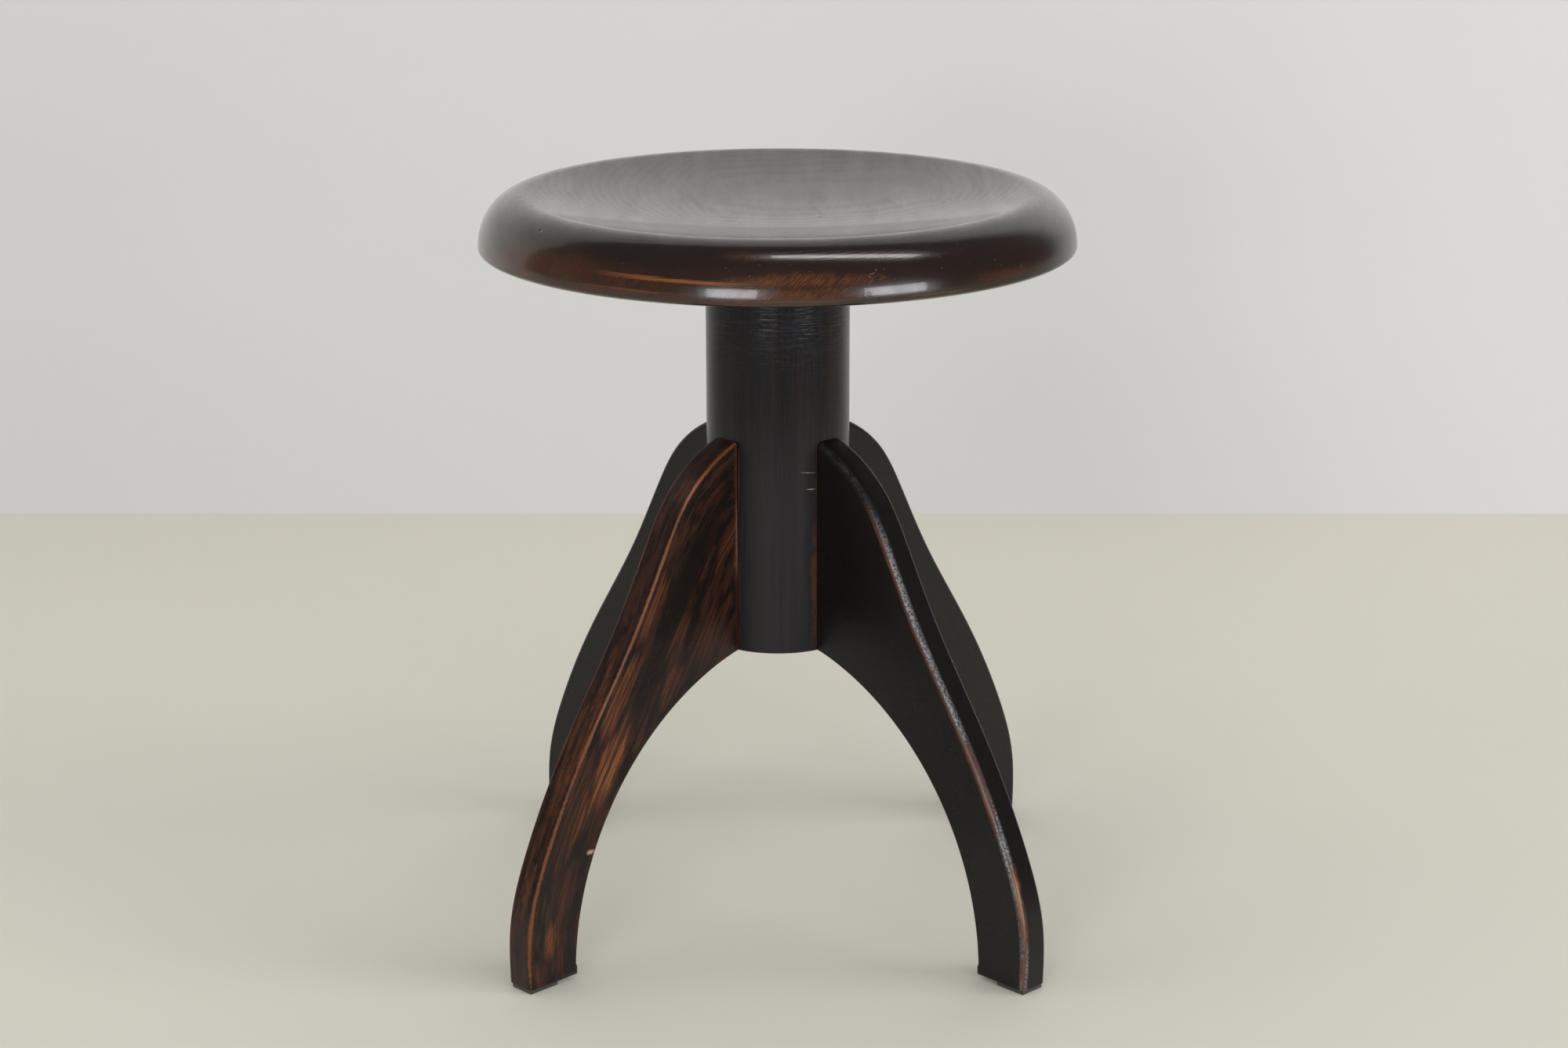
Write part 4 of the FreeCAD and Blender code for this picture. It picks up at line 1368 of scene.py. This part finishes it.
wall_middle = ((WALL_LEFT + WALL_RIGHT) / 2, WALL_DISTANCE, WALL_HEIGHT / 2)
floor = add_shape(bpy.ops.mesh.primitive_plane_add, "studio_floor", size=FLOOR_SIZE)
wall = add_shape(bpy.ops.mesh.primitive_plane_add, "studio_wall", (WALL_RIGHT - WALL_LEFT, WALL_HEIGHT, 1),
                 size=1, rotation=(QUARTER_TURN, 0, 0), location=wall_middle)


def show_either(tree, share, other):
    """Shows the other shader instead of the paint, by its share."""
    either = put(tree, "ShaderNodeMixShader", {"Fac": share})
    feed(either.inputs[1], tree.nodes["Principled BSDF"].outputs[0])
    feed(either.inputs[2], other)
    feed(tree.nodes["Material Output"].inputs["Surface"], either.outputs[0])


def floor_paint():
    material, shader, place = new_finish("pale_floor_paint")
    tree = material.node_tree
    mottle = noise(place, 2.2, 5.0, 0.6)
    feed(shader["Base Color"], paint(FLOOR_COLOR, (mottle, FLOOR_COLOR_WORN)))
    feed(shader["Roughness"], span(mottle, 0.72, 0.88))
    ray = put(tree, "ShaderNodeLightPath").outputs
    seen = most(ray["Is Camera Ray"], ray["Is Glossy Ray"], ray["Is Transmission Ray"])
    far = ease(vector_calc("LENGTH", place), FLOOR_FADE_START, FLOOR_FADE_END)
    even = put(tree, "ShaderNodeEmission", {"Color": FLOOR_FAR_TONE, "Strength": 1.0}).outputs[0]
    show_either(tree, times(far, seen), even)
    return material


def wall_paint():
    material, shader, place = new_finish("pale_wall_paint", Base_Color=WALL_COLOR, Roughness=WALL_ROUGHNESS)
    tree = material.node_tree
    part = split(place)
    unseen = most(put(tree, "ShaderNodeNewGeometry").outputs["Backfacing"],
                  ease(part["Z"], WALL_HEIGHT - WALL_FADE, WALL_HEIGHT),
                  ease(part["X"], WALL_RIGHT - WALL_FADE, WALL_RIGHT),
                  ease(part["X"], WALL_LEFT + WALL_FADE, WALL_LEFT))
    show_either(tree, unseen, put(tree, "ShaderNodeBsdfTransparent").outputs[0])
    return material


dress(floor, floor_paint())
dress(wall, wall_paint())

# %% [markdown]
# The light is soft. Two window panels behind the camera draw the two bright spots on the seat's lower rim,
# and a narrow strip under the ceiling draws the long line above them. The even light on floor and wood comes
# from four wide panels, overhead and round the room, that are kept out of reflections, and the world fills
# in a quiet grey. A panel's brightness is given as how many times as bright as white paper it looks, and its
# power follows from that and its size.

# %% Lights
STOOL_MIDDLE = Vector((0, 0, 0.43))
WORLD_GREY = (0.95, 0.97, 1.0, 1)
WORLD_STRENGTH = 0.14
DAYLIGHT = (0.93, 0.95, 1.0)
CEILING_LIGHT = (1.0, 0.95, 0.91)


def light_panel(name, place, width, height, brightness, target=STOOL_MIDDLE, color=(1, 1, 1)):
    data = bpy.data.lights.new(name, "AREA")
    data.shape = "RECTANGLE"
    data.size = width
    data.size_y = height
    data.color = color
    data.energy = brightness * math.pi * width * height
    panel = bpy.data.objects.new(name, data)
    bpy.context.scene.collection.objects.link(panel)
    panel.location = place
    panel.rotation_euler = (Vector(target) - Vector(place)).to_track_quat("-Z", "Y").to_euler()
    panel.visible_camera = False
    return panel


def towards(azimuth, elevation, distance):
    """A place as seen from the stool: azimuth 0 is towards the camera, and it grows to the right."""
    side, up = math.radians(azimuth), math.radians(elevation)
    step = Vector((math.sin(side) * math.cos(up), -math.cos(side) * math.cos(up), math.sin(up)))
    return STOOL_MIDDLE + step * distance


light_panel("window_left", towards(-16, 4, 3.4), 1.10, 0.85, 9.0, color=DAYLIGHT)
light_panel("window_right", towards(44, 3, 3.4), 1.45, 0.75, 9.0, color=DAYLIGHT)
strip = light_panel("ceiling_strip", (0.78, -0.45, 2.45), 1.65, 0.30, 9.0, (0.78, -0.45, 0), CEILING_LIGHT)
strip.visible_diffuse = False
fills = [light_panel("overhead_fill", (0, -0.6, 3.4), 6.0, 6.0, 0.46, (0, -0.6, 0)),
         light_panel("front_fill", (0, -4.4, 1.5), 6.0, 2.8, 1.2, (0, 0, 0.3)),
         light_panel("left_fill", (-3.6, -0.8, 1.3), 4.0, 2.4, 1.15, (0, 0, 0.1)),
         light_panel("right_fill", (3.6, -1.0, 1.4), 2.2, 1.7, 4.6, (0, 0, 0.1))]
for fill in fills:
    fill.visible_glossy = False

world = bpy.data.worlds.new("quiet_studio")
world.use_nodes = True
background = world.node_tree.nodes["Background"]
background.inputs["Color"].default_value = WORLD_GREY
background.inputs["Strength"].default_value = WORLD_STRENGTH
bpy.context.scene.world = world
print("lights:", [light.name for light in bpy.data.lights])
